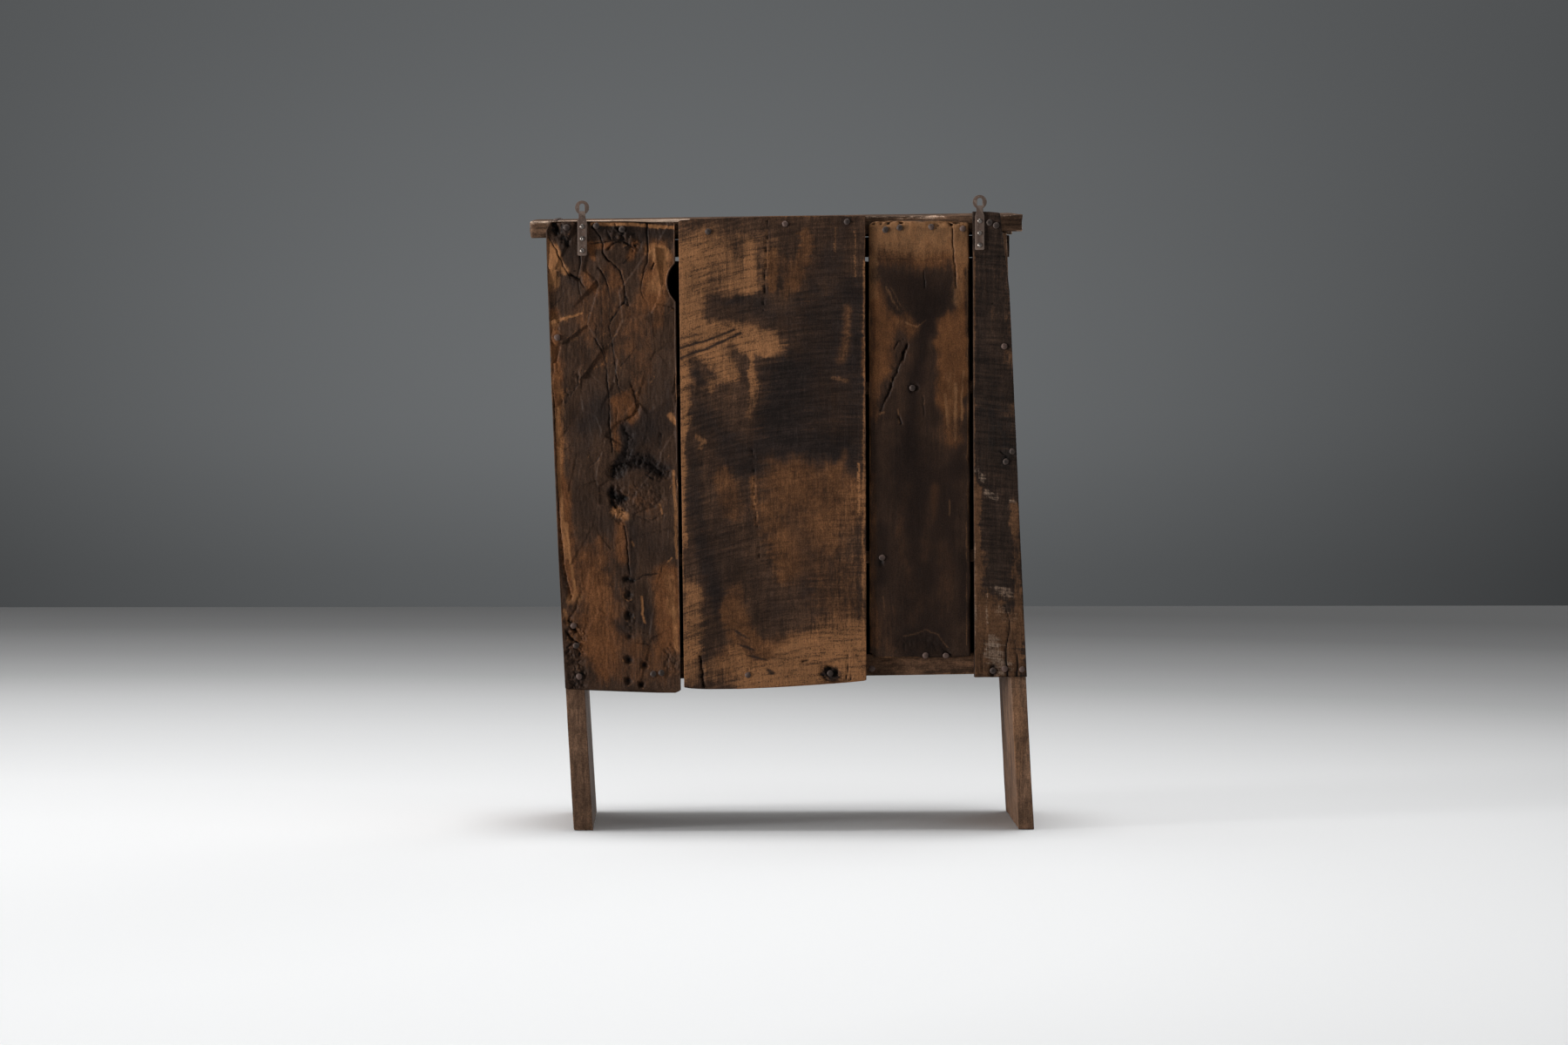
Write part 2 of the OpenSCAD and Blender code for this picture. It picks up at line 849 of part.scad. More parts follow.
module packing_strip() {
    color(warm_oak)
        intersection() {
            top_slab(-strip_t, 0);
            translate([rail_left_x - strip_over, face_y, rail_z])
                cube([rail_right_x - rail_left_x + strip_over, stile_t, top_z]);
        }
}

// Nails of a stile into its side board's front edge
module frame_nails(right, hole) {
    for (s = [0.06, 0.36, 0.66, 0.9]) {
        z = bottom_z + s * (rail_z - bottom_z);
        x = right ? (right_out(z) + right_in(z)) / 2 : (left_out(z) + left_in(z)) / 2;
        from_front(x, face_y, z)
            nail_or_hole(hole, stile_t + nail_bite);
    }
    z = rail_z + rail_nail_rise;
    x = right ? (right_out(z) + right_in(z)) / 2 : (left_out(z) + left_in(z)) / 2;
    from_front(x, face_y, z)
        nail_or_hole(hole, stile_t + nail_bite);
}

// The rail's nails are the highest of each stile's row
module rail_nails(hole) {
    frame_nails(true, hole);
    frame_nails(false, hole);
}

module nails_front() {
    color(forged_iron) {
        frame_nails(true, false);
        frame_nails(false, false);
    }
}

// Doors: side is +1 for the right door and -1 for the left one
function axis_of(side) = side > 0 ? right_axis : left_axis;
function door_hinge_x(side) = side > 0 ? open_right - door_gap : open_left + door_gap;
// x of a place on a door, from its hinge edge inwards
function door_x(side, from_hinge) = door_hinge_x(side) - side * from_hinge;

// Plank of a door between two distances from its hinge edge, with its long front edges eased
module door_plank(side, a, b) {
    ease = 1.5;
    x0 = min(door_x(side, a), door_x(side, b));
    translate([x0, face_y, door_low])
        linear_extrude(height = door_high - door_low)
            polygon([
                [ease, 0], [b - a - ease, 0], [b - a, ease], [b - a, door_t], [0, door_t], [0, ease]
            ]);
}

module door_holes(side) {
    strap_nail_set(side, true);
    door_nail_set(side, true);
    knob_hole(side);
}

module hinge_plank(side) {
    difference() {
        door_plank(side, 0, door_plank_share * door_w - door_seam / 2);
        door_holes(side);
    }
}

module meeting_plank(side) {
    difference() {
        door_plank(side, door_plank_share * door_w + door_seam / 2, door_w);
        door_holes(side);
    }
}

// Batten across a door's inner face, behind a strap, with bevelled upper and lower edges
module batten(side, z) {
    bevel = 5;
    y0 = face_y + door_t;
    x0 = min(door_x(side, batten_inset), door_x(side, door_w - batten_inset));
    difference() {
        translate([x0, y0, z])
            rotate([90, 0, 90])
                linear_extrude(height = door_w - 2 * batten_inset)
                    polygon([
                        [0, -batten_w / 2], [batten_t - bevel, -batten_w / 2], [batten_t, bevel - batten_w / 2],
                        [batten_t, batten_w / 2 - bevel], [batten_t - bevel, batten_w / 2], [0, batten_w / 2]
                    ]);
        door_holes(side);
    }
}

// Nails that hold a door's planks to its battens, above and below each strap
module door_nail_set(side, hole) {
    seam = door_plank_share * door_w;
    rest = door_w - seam - batten_inset;
    at = [edge_nail_share * seam + batten_inset / 2, seam - seam_nail_in, seam + seam_nail_in, seam + rest * 0.8];
    for (z = hinge_zs, d = at, way = [-1, 1])
        from_front(door_x(side, d), face_y, z + way * door_nail_rise)
            nail_or_hole(hole, door_t + batten_t - 1);
}

// Turned knob with its shank through the door
module knob(side) {
    neck_r = knob_r * 0.5;
    shank_r = knob_r * 0.4;
    color(dark_oak)
        translate([door_x(side, door_w - knob_inset), face_y, bottom_z + knob_rise])
            rotate([90, 0, 0])
                rotate_extrude($fn = 48)
                    difference() {
                        union() {
                            translate([0, -door_t])
                                square([shank_r, door_t]);
                            square([neck_r + 2, knob_l * 0.14]);
                            square([neck_r, knob_l * 0.5]);
                            intersection() {
                                translate([0, knob_l - knob_r])
                                    circle(r = knob_r);
                                square([knob_r, knob_l]);
                            }
                        }
                        translate([-1, knob_l - 1.5])
                            square([knob_r, 2]);
                    }
}

module knob_hole(side) {
    translate([door_x(side, door_w - knob_inset), face_y, bottom_z + knob_rise])
        rotate([-90, 0, 0])
            translate([0, 0, -1])
                cylinder(h = door_t + 2, r = knob_r * 0.4 + fit);
}

// Strap hinges: way is +1 where the plate runs to +X, and odd picks every other knuckle
module knuckle_set(odd) {
    for (i = [0:knuckles - 1])
        if (i % 2 == (odd ? 1 : 0))
            translate([0, 0, i * (knuckle_l + knuckle_gap) - barrel_l / 2])
                children();
}

// Flat iron in the x-z plane, drawn by its children, lying on the face
module flat_iron() {
    upright(barrel_r + barrel_clear - strap_t, barrel_r + barrel_clear)
        children();
}

// Knuckles with the tongues that join them to the plate
module knuckles_with_tongues(odd, way) {
    difference() {
        knuckle_set(odd)
            union() {
                cylinder(h = knuckle_l, r = barrel_r);
                translate([way > 0 ? 0 : -strap_root - 1, barrel_r + barrel_clear - strap_t, 0])
                    cube([strap_root + 1, strap_t, knuckle_l]);
            }
        translate([0, 0, -barrel_l])
            cylinder(h = 2 * barrel_l, r = pin_r + run_fit);
    }
}

// Outline of a strap along +X: it tapers from the barrel and ends in a round finial with a point
module strap_outline() {
    root_h = barrel_l / 2;
    tip_x = strap_l - strap_tip_r;
    neck_x = tip_x - strap_tip_r * 0.8;
    union() {
        polygon([
            [strap_root, -root_h], [strap_root + strap_shoulder, -root_h],
            [strap_root + strap_flare, -root_h * 0.66], [neck_x, -strap_neck_r],
            [tip_x, -strap_neck_r], [tip_x, strap_neck_r], [neck_x, strap_neck_r],
            [strap_root + strap_flare, root_h * 0.66], [strap_root + strap_shoulder, root_h],
            [strap_root, root_h]
        ]);
        translate([tip_x, 0])
            circle(r = strap_tip_r);
        polygon([
            [tip_x + strap_tip_r * 0.36, -strap_tip_r * 0.8], [strap_l + strap_point, 0],
            [tip_x + strap_tip_r * 0.36, strap_tip_r * 0.8]
        ]);
    }
}

// Outline of a leaf along +X: a short flared plate
module leaf_outline() {
    root_h = barrel_l / 2;
    polygon([
        [strap_root, -root_h], [leaf_l * 0.35, -root_h * 0.72], [leaf_l * 0.8, -root_h],
        [leaf_l, -root_h * 0.5], [leaf_l, root_h * 0.5], [leaf_l * 0.8, root_h],
        [leaf_l * 0.35, root_h * 0.72], [strap_root, root_h]
    ]);
}

module mirrored(way) {
    if (way > 0)
        children();
    else
        mirror([1, 0, 0])
            children();
}

module strap(side, z) {
    color(forged_iron)
        difference() {
            translate([axis_of(side)[0], axis_of(side)[1], z])
                union() {
                    knuckles_with_tongues(true, -side);
                    mirrored(-side)
                        flat_iron()
                            strap_outline();
                }
            strap_nail_set(side, true);
        }
}

module leaf(side, z) {
    color(forged_iron)
        difference() {
            translate([axis_of(side)[0], axis_of(side)[1], z])
                union() {
                    knuckles_with_tongues(false, side);
                    mirrored(side)
                        flat_iron()
                            leaf_outline();
                }
            leaf_nail_set(axis_of(side), side, true);
        }
}

module strap_nail_set(side, hole) {
    for (z = hinge_zs, s = strap_nails)
        from_front(axis_of(side)[0] - side * s * strap_l, face_y - strap_t, z)
            nail_or_hole(hole, strap_t + door_t + batten_t - 1, small_head_r);
}

module leaf_nail_set(axis, side, hole) {
    for (z = hinge_zs, n = leaf_nails)
        from_front(axis[0] + side * n[0] * leaf_l, face_y - strap_t, z + n[1] * barrel_l)
            nail_or_hole(hole, strap_t + stile_t - 3, small_head_r);
}

module hinge_pin() {
    cap_h = 3;
    translate([0, 0, -barrel_l / 2])
        cylinder(h = barrel_l, r = pin_r);
    translate([0, 0, barrel_l / 2])
        cylinder(h = cap_h, r1 = barrel_r, r2 = pin_r);
}

module hinge_pins(axis) {
    color(worn_steel)
        for (z = hinge_zs)
            translate([axis[0], axis[1], z])
                hinge_pin();
}

// Turn button: it lies along the rail at rest and turns down over both doors
module button_outline() {
    difference() {
        union() {
            circle(r = button_r);
            polygon([
                [0, -button_r], [button_l - button_tip_r, -button_tip_r],
                [button_l - button_tip_r, button_tip_r], [0, button_r]
            ]);
            translate([button_l - button_tip_r, 0])
                circle(r = button_tip_r);
        }
        circle(r = button_pin_r + run_fit);
    }
}

module turn_button() {
    color(dark_oak)
        translate([open_mid, 0, button_z])
            upright(face_y - button_gap - button_t, face_y - button_gap)
                button_outline();
}

// Pivot screw: it starts in front of the button and bites in the rail
module button_pin_hole() {
    translate([0, 0, -stile_t + 2])
        cylinder(h = stile_t, r = button_pin_r + fit);
}

module button_screw() {
    cap_h = 3;
    cap_gap = 0.3;
    point_gap = 1;
    color(worn_steel)
        translate([open_mid, face_y, button_z])
            rotate([90, 0, 0]) {
                translate([0, 0, point_gap + 2 - stile_t])
                    cylinder(h = stile_t - point_gap - 2 + button_gap + button_t + cap_gap, r = button_pin_r);
                translate([0, 0, button_gap + button_t + cap_gap])
                    cylinder(h = cap_h, r1 = 2 * button_pin_r, r2 = 1.2 * button_pin_r);
            }
}

// Hanging plates: a strip with a round eye, its slot and three screw holes
module plate_body_outline() {
    neck_w = plate_w * 0.72;
    polygon([
        [-neck_w / 2, -1.2 * eye_r - slot_h / 2], [neck_w / 2, -1.2 * eye_r - slot_h / 2],
        [neck_w / 2, -2.4 * eye_r],
        [plate_w / 2, -3 * eye_r], [plate_w / 2, plate_edge - plate_l],
        [plate_w / 2 - plate_edge, -plate_l], [plate_edge - plate_w / 2, -plate_l],
        [-plate_w / 2, plate_edge - plate_l], [-plate_w / 2, -3 * eye_r],
        [-neck_w / 2, -2.4 * eye_r]
    ]);
}

// Slot of the eye: a round head over a flat sill
module slot_outline() {
    rim = 5;
    translate([0, -rim - slot_w / 2])
        circle(r = slot_w / 2);
    translate([-slot_w / 2, -rim - slot_h])
        square([slot_w, slot_h - slot_w / 2]);
}

module hanging_plate(x, plank_t) {
    y0 = rear_y + plank_t;
    over = 1;
    color(worn_steel)
        translate([x, 0, plate_top(x)])
            difference() {
                union() {
                    upright(y0, y0 + plate_t)
                        translate([0, -eye_r])
                            circle(r = eye_r, $fn = 48);
                    upright(y0, y0 + plate_t)
                        plate_body_outline();
                }
                upright(y0 - over, y0 + plate_t + over)
                    slot_outline();
                for (i = [0:2])
                    upright(y0 - over, y0 + plate_t + over)
                        translate([0, -first_screw - i * screw_pitch])
                            circle(r = screw_r + fit);
            }
}

module plate_screw_set(x, plank_t, hole) {
    for (i = [0:2])
        from_back(x, rear_y + plank_t + plate_t, plate_top(x) - first_screw - i * screw_pitch)
            if (hole)
                translate([0, 0, -screw_l - fit])
                    cylinder(h = screw_l + 1, r = screw_r + fit);
            else
                plate_screw();
}

module plate_screw() {
    rotate_extrude()
        polygon([
            [0, -screw_l], [screw_r, -screw_l], [screw_r, 0], [screw_head_r, 0],
            [screw_head_r, screw_head_h * 0.4], [screw_head_r * 0.6, screw_head_h], [0, screw_head_h]
        ]);
}

module plate_screws() {
    color(worn_steel) {
        plate_screw_set(plate_right_x, plank_1_t, false);
        plate_screw_set(plate_left_x, plank_4_t, false);
    }
}

side_right();
side_left();
top_rear_plank();
top_front_plank();
bottom_board();
shelf_lower();
shelf_upper();
back_plank_1();
back_plank_2();
back_plank_3();
back_plank_4();
stile_right();
stile_left();
front_rail();
packing_strip();
hanging_plate(plate_right_x, plank_1_t);  // hanging_plate_right
hanging_plate(plate_left_x, plank_4_t);  // hanging_plate_left
plate_screws();
nails_back_1();
nails_back_2();
nails_back_3();
nails_back_4();
nails_top();
nails_side_right();
nails_side_left();
nails_front();
color(warm_oak) hinge_plank(1);  // door_right_hinge_plank
color(worn_oak) meeting_plank(1);  // door_right_meeting_plank
color(grey_oak) batten(1, hinge_low);  // door_right_batten_lower
color(grey_oak) batten(1, hinge_high);  // door_right_batten_upper
knob(1);  // knob_right
color(forged_iron) door_nail_set(1, false);  // nails_door_right
color(warm_oak) hinge_plank(-1);  // door_left_hinge_plank
color(worn_oak) meeting_plank(-1);  // door_left_meeting_plank
color(grey_oak) batten(-1, hinge_low);  // door_left_batten_lower
color(grey_oak) batten(-1, hinge_high);  // door_left_batten_upper
knob(-1);  // knob_left
color(forged_iron) door_nail_set(-1, false);  // nails_door_left
strap(1, hinge_low);  // strap_right_lower
strap(1, hinge_high);  // strap_right_upper
strap(-1, hinge_low);  // strap_left_lower
strap(-1, hinge_high);  // strap_left_upper
leaf(1, hinge_low);  // leaf_right_lower
leaf(1, hinge_high);  // leaf_right_upper
leaf(-1, hinge_low);  // leaf_left_lower
leaf(-1, hinge_high);  // leaf_left_upper
hinge_pins(right_axis);  // hinge_pins_right
hinge_pins(left_axis);  // hinge_pins_left
color(forged_iron) strap_nail_set(1, false);  // nails_strap_right
color(forged_iron) strap_nail_set(-1, false);  // nails_strap_left
color(forged_iron) leaf_nail_set(right_axis, 1, false);  // nails_leaf_right
color(forged_iron) leaf_nail_set(left_axis, -1, false);  // nails_leaf_left
turn_button();
button_screw();
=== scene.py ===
import logging
import math
from dataclasses import dataclass, field, replace
from enum import Enum
from functools import cache, partialmethod
from itertools import count, product

import bmesh
import bpy
import numpy as np
from bpy.types import ID, Material, Mesh, NodeSocket, NodeTree, Object
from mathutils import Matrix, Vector


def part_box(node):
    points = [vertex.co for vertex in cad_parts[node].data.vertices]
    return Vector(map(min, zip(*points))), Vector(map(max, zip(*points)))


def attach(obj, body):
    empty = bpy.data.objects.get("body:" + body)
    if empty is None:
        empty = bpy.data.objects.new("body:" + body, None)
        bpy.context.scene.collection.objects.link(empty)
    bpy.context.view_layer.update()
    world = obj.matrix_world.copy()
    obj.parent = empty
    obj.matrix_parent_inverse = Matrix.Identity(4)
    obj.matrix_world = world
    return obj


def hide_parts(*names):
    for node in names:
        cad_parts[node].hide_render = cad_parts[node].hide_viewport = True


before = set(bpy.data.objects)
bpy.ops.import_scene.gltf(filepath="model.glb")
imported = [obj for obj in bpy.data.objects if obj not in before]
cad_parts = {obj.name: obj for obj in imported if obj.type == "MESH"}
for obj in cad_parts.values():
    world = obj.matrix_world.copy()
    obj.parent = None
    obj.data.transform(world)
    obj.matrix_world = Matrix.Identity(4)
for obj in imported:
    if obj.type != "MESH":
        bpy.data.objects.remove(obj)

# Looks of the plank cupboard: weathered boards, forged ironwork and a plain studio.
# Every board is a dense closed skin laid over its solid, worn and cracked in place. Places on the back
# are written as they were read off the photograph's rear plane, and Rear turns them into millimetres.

log = logging.getLogger("cupboard")

Array = np.ndarray
Colour = tuple[float, float, float]
Place = tuple[float, float]
MM = 0.001
PER_METRE = 1000.0

# Corners of a block, by the end of x, y and z that each lies at
CORNERS = tuple(product((0, 1), repeat=3))


class Tone(Enum):
    """What a vertex mask darkens or lightens on a board."""

    STAIN = 0
    # Wear, with painted highlights on lit rims, crests and top edges
    WEAR_AND_HIGHLIGHT = 1
    WARM = 2
    # Grime, with painted shade in cracks, holes and hollows
    DIRT_AND_SHADE = 3


class Grain(Enum):
    """Axis that a board's fibres follow."""

    ALONG_X = 0
    ALONG_Z = 2


class Side(Enum):
    """A side of the cupboard seen from its doors, by the word that its nodes carry."""

    RIGHT = "right"
    LEFT = "left"


def places_at(*axes: Array | float) -> Array:
    """Places from an array or one number for each of their axes."""
    return np.stack(np.broadcast_arrays(*axes), axis=1)


class Rear:
    """Rear plane of the cupboard, as the photograph shows it."""

    MM_PER_PIXEL = 1.5
    CENTRE_COLUMN = 898.25
    FLOOR_ROW = 954.5

    @classmethod
    def mm(cls, places: Array) -> Array:
        """Turns columns and rows of the photograph into x and z in millimetres on the rear plane."""
        off = np.array([cls.CENTRE_COLUMN, cls.FLOOR_ROW]) - np.asarray(places, dtype=float)
        return off * cls.MM_PER_PIXEL


# Finishes


@dataclass(frozen=True)
class WoodFinish:
    """Colours and marks of one kind of wood."""

    slot: str
    dark: Colour
    mid: Colour
    light: Colour
    warm: Colour
    stain: Colour = (0.012, 0.0085, 0.007)
    saw: float = 0.0
    saw_pitch: float = 3.2
    saw_centre: float = 0.0
    saw_radius: float = 4.0
    rough: float = 0.62
    bump: float = 0.6
    shine: float = 0.10
    soft: float = 0.3
    streaks: float = 1.0
    grain: Grain = Grain.ALONG_Z
    swirl: float = 0.25


@dataclass(frozen=True)
class MetalFinish:
    """Colours of one kind of iron or steel."""

    slot: str
    iron: Colour
    rust: Colour
    bright: Colour
    rust_share: float = 0.55
    rough: float = 0.55
    hammer: float = 0.5
    flecks: float = 0.0
    shine: float = 0.75
    blush: float = 0.0


HEWN_OAK = WoodFinish("oak_hewn", (0.029, 0.016, 0.0104), (0.071, 0.0365, 0.0206), (0.275, 0.126, 0.051),
                      (0.13, 0.05, 0.018), stain=(0.0155, 0.0104, 0.0087), rough=0.5, bump=0.8, swirl=0.6,
                      soft=0.7, streaks=0.36)
SAWN_OAK = WoodFinish("oak_sawn", (0.03, 0.0165, 0.0108), (0.068, 0.034, 0.0185), (0.265, 0.122, 0.052),
                      (0.112, 0.047, 0.0185), stain=(0.015, 0.01, 0.0084), saw=0.62, saw_pitch=2.8,
                      saw_centre=-0.12, saw_radius=0.9, rough=0.56, bump=1.2, soft=0.75, streaks=0.55)
WARM_OAK = WoodFinish("oak_warm", (0.02, 0.0112, 0.0078), (0.048, 0.0245, 0.0138), (0.225, 0.112, 0.051),
                      (0.11, 0.044, 0.016), stain=(0.0122, 0.0066, 0.0046), rough=0.44, swirl=0.9, soft=0.85,
                      streaks=0.36)
DARK_OAK = WoodFinish("oak_dark", (0.0165, 0.01, 0.0074), (0.037, 0.021, 0.0135), (0.24, 0.175, 0.13),
                      (0.09, 0.043, 0.0205), saw=0.8, saw_pitch=3.6, rough=0.56, bump=1.4, soft=0.25,
                      streaks=0.5)
GREY_OAK = WoodFinish("oak_grey", (0.09, 0.05, 0.031), (0.165, 0.092, 0.055), (0.28, 0.186, 0.132),
                      (0.17, 0.088, 0.047), stain=(0.036, 0.023, 0.016), saw=0.12, saw_pitch=4.2, rough=0.7,
                      soft=0.4, streaks=0.7)
# Its light colour is bright enough to paint the highlight on the top's rear edge
TOP_OAK = WoodFinish("oak_top", (0.053, 0.03, 0.018), (0.14, 0.077, 0.046), (0.66, 0.495, 0.38),
                     (0.15, 0.072, 0.033), rough=0.58, grain=Grain.ALONG_X)
FRONT_OAK = WoodFinish("oak_front", (0.034, 0.018, 0.011), (0.082, 0.043, 0.0235), (0.18, 0.1, 0.054),
                       (0.115, 0.052, 0.024), saw=0.2, rough=0.55, soft=0.4)
TURNED_WOOD = WoodFinish("turned_wood", (0.02, 0.012, 0.008), (0.05, 0.028, 0.017), (0.095, 0.055, 0.032),
                         (0.075, 0.036, 0.019), rough=0.38, bump=0.25, shine=0.35)
FORGED_IRON = MetalFinish("forged_iron", (0.015, 0.011, 0.0095), (0.036, 0.019, 0.013), (0.11, 0.075, 0.06),
                          rough=0.6, shine=0.12, blush=0.3)
PLATE_STEEL = MetalFinish("plate_steel", (0.055, 0.03, 0.021), (0.086, 0.041, 0.026), (0.24, 0.18, 0.145),
                          rust_share=0.62, rough=0.6, hammer=0.25, flecks=0.35, shine=0.25)
SCREW_STEEL = MetalFinish("plate_steel", (0.2, 0.17, 0.15), (0.11, 0.075, 0.055), (0.55, 0.5, 0.46),
                          rust_share=0.45, rough=0.36, hammer=0.3)
WORN_STEEL = MetalFinish("worn_steel", (0.17, 0.145, 0.13), (0.11, 0.065, 0.042), (0.4, 0.37, 0.34),
                         rust_share=0.5, rough=0.42, hammer=0.2)


# Shader trees


@dataclass(eq=False)
class Link:
    """One socket of a node tree, which takes Python's operators as Math nodes."""

    tree: "Tree"
    socket: NodeSocket

    def math(self, operation: str, *values: "Link | float", clamp: bool = False) -> "Link":
        """Adds a Math node on this value and others, kept between 0 and 1 where it is clamped."""
        inputs = {i: v for i, v in enumerate((self, *values))}
        return self.tree.node("ShaderNodeMath", {"operation": operation, "use_clamp": clamp}, inputs)

    # Python calls these for a + b, a * b, a - b and a / b
    __add__ = __radd__ = partialmethod(math, "ADD")
    __mul__ = __rmul__ = partialmethod(math, "MULTIPLY")
    __sub__ = partialmethod(math, "SUBTRACT")
    __truediv__ = partialmethod(math, "DIVIDE")

    def __rsub__(self, other: float) -> "Link":
        """Difference the other way round, so that 1 - mask works."""
        return self.tree.node("ShaderNodeMath", {"operation": "SUBTRACT"}, {0: other, 1: self})

    def step(self, low: float, high: float) -> "Link":
        """Smooth step from 0 at low to 1 at high."""
        return self.tree.node("ShaderNodeMapRange", {"interpolation_type": "SMOOTHSTEP"},
                              {"Value": self, "From Min": low, "From Max": high})


class Tree:
    """A node tree, with one method for any node."""

    def __init__(self, tree: NodeTree) -> None:
        """Keeps the tree that nodes are added to."""
        self.nodes = tree.nodes
        self.links = tree.links

    def node(self, kind: str, settings: dict | None = None, inputs: dict | None = None,
             output: int | str = 0) -> Link:
        """Adds one node.

        Args:
            kind: The node's type name.
            settings: Its properties, set first; "stops" gives a ramp's places and colours.
            inputs: Values or links by socket index or name.
            output: Which output is wanted.

        Returns:
            That output.
        """
        made = self.nodes.new(kind)
        for name, value in (settings or {}).items():
            if name == "stops":
                ramp = made.color_ramp
                while len(ramp.elements) < len(value):
                    ramp.elements.new(0.5)
                for element, (at, colour) in zip(ramp.elements, value):
                    element.position = at
                    element.color = (*colour, 1.0)
            else:
                setattr(made, name, value)
        for key, value in (inputs or {}).items():
            self.put(made.inputs[key], value)
        return Link(self, made.outputs[output])

    def put(self, socket: NodeSocket, value: "Link | float | tuple") -> None:
        """Links or sets one input socket.

        Args:
            socket: The input.
            value: What goes in: a link, a number or vector, or a colour without its alpha.
        """
        if isinstance(value, Link):
            self.links.new(value.socket, socket)
        elif isinstance(value, tuple) and len(value) == 3 and socket.type == "RGBA":
            socket.default_value = (*value, 1.0)
        else:
            socket.default_value = value

    def axis(self, where: Link, name: str) -> Link:
        """One axis of a vector."""
        return self.node("ShaderNodeSeparateXYZ", {}, {0: where}, name)

    def mix(self, factor: Link | float, first: Link | Colour, second: Link | Colour,
            blend: str = "MIX") -> Link:
        """Mixes two colours; the factor is the share of the second."""
        return self.node("ShaderNodeMix", {"data_type": "RGBA", "blend_type": blend},
                         {0: factor, 6: first, 7: second}, 2)

    def noise(self, where: Link, scale: float, detail: float = 3.0, rough: float = 0.55,
              distortion: float = 0.0) -> Link:
        """Noise between 0 and 1 with scale waves to a metre, finer octaves and a warp."""
        return self.node("ShaderNodeTexNoise", {}, {"Vector": where, "Scale": scale, "Detail": detail,
                                                    "Roughness": rough, "Distortion": distortion})


class ShaderTree(Tree):
    """Tree of one material."""

    def __init__(self, name: str) -> None:
        """Makes an empty material.

        Args:
            name: Name of the material.
        """
        self.material = bpy.data.materials.new(name)
        self.material.use_nodes = True
        super().__init__(self.material.node_tree)
        self.nodes.clear()

    def stretched(self, where: Link, scale: tuple[float, float, float]) -> Link:
        """Coordinates multiplied axis by axis."""
        return self.node("ShaderNodeMapping", {"vector_type": "POINT"}, {"Vector": where, "Scale": scale})

    def finish(self, shader: Link) -> Material:
        """Ends the tree with a surface.

        Args:
            shader: The surface's shader.

        Returns:
            The material.
        """
        out = self.nodes.new("ShaderNodeOutputMaterial")
        self.links.new(shader.socket, out.inputs["Surface"])
        return self.material

    def surface(self, colour: Link | Colour, rough: Link | float, normal: Link, metallic: Link | float,
                specular: float) -> Link:
        """Principled shader.

        Args:
            colour: Base colour.
            rough: Roughness.
            normal: Bumped normal.
            metallic: How metallic it is.
            specular: Specular level.

        Returns:
            The shader's output.
        """
        inputs = {"Base Color": colour, "Roughness": rough, "Metallic": metallic,
                  "Specular IOR Level": specular, "Normal": normal}
        return self.node("ShaderNodeBsdfPrincipled", {}, inputs)

    def bumped(self, height: Link, distance: float, strength: float = 1.0) -> Link:
        """Normal from a height in metres times distance."""
        return self.node("ShaderNodeBump", {}, {"Strength": strength, "Distance": distance, "Height": height})


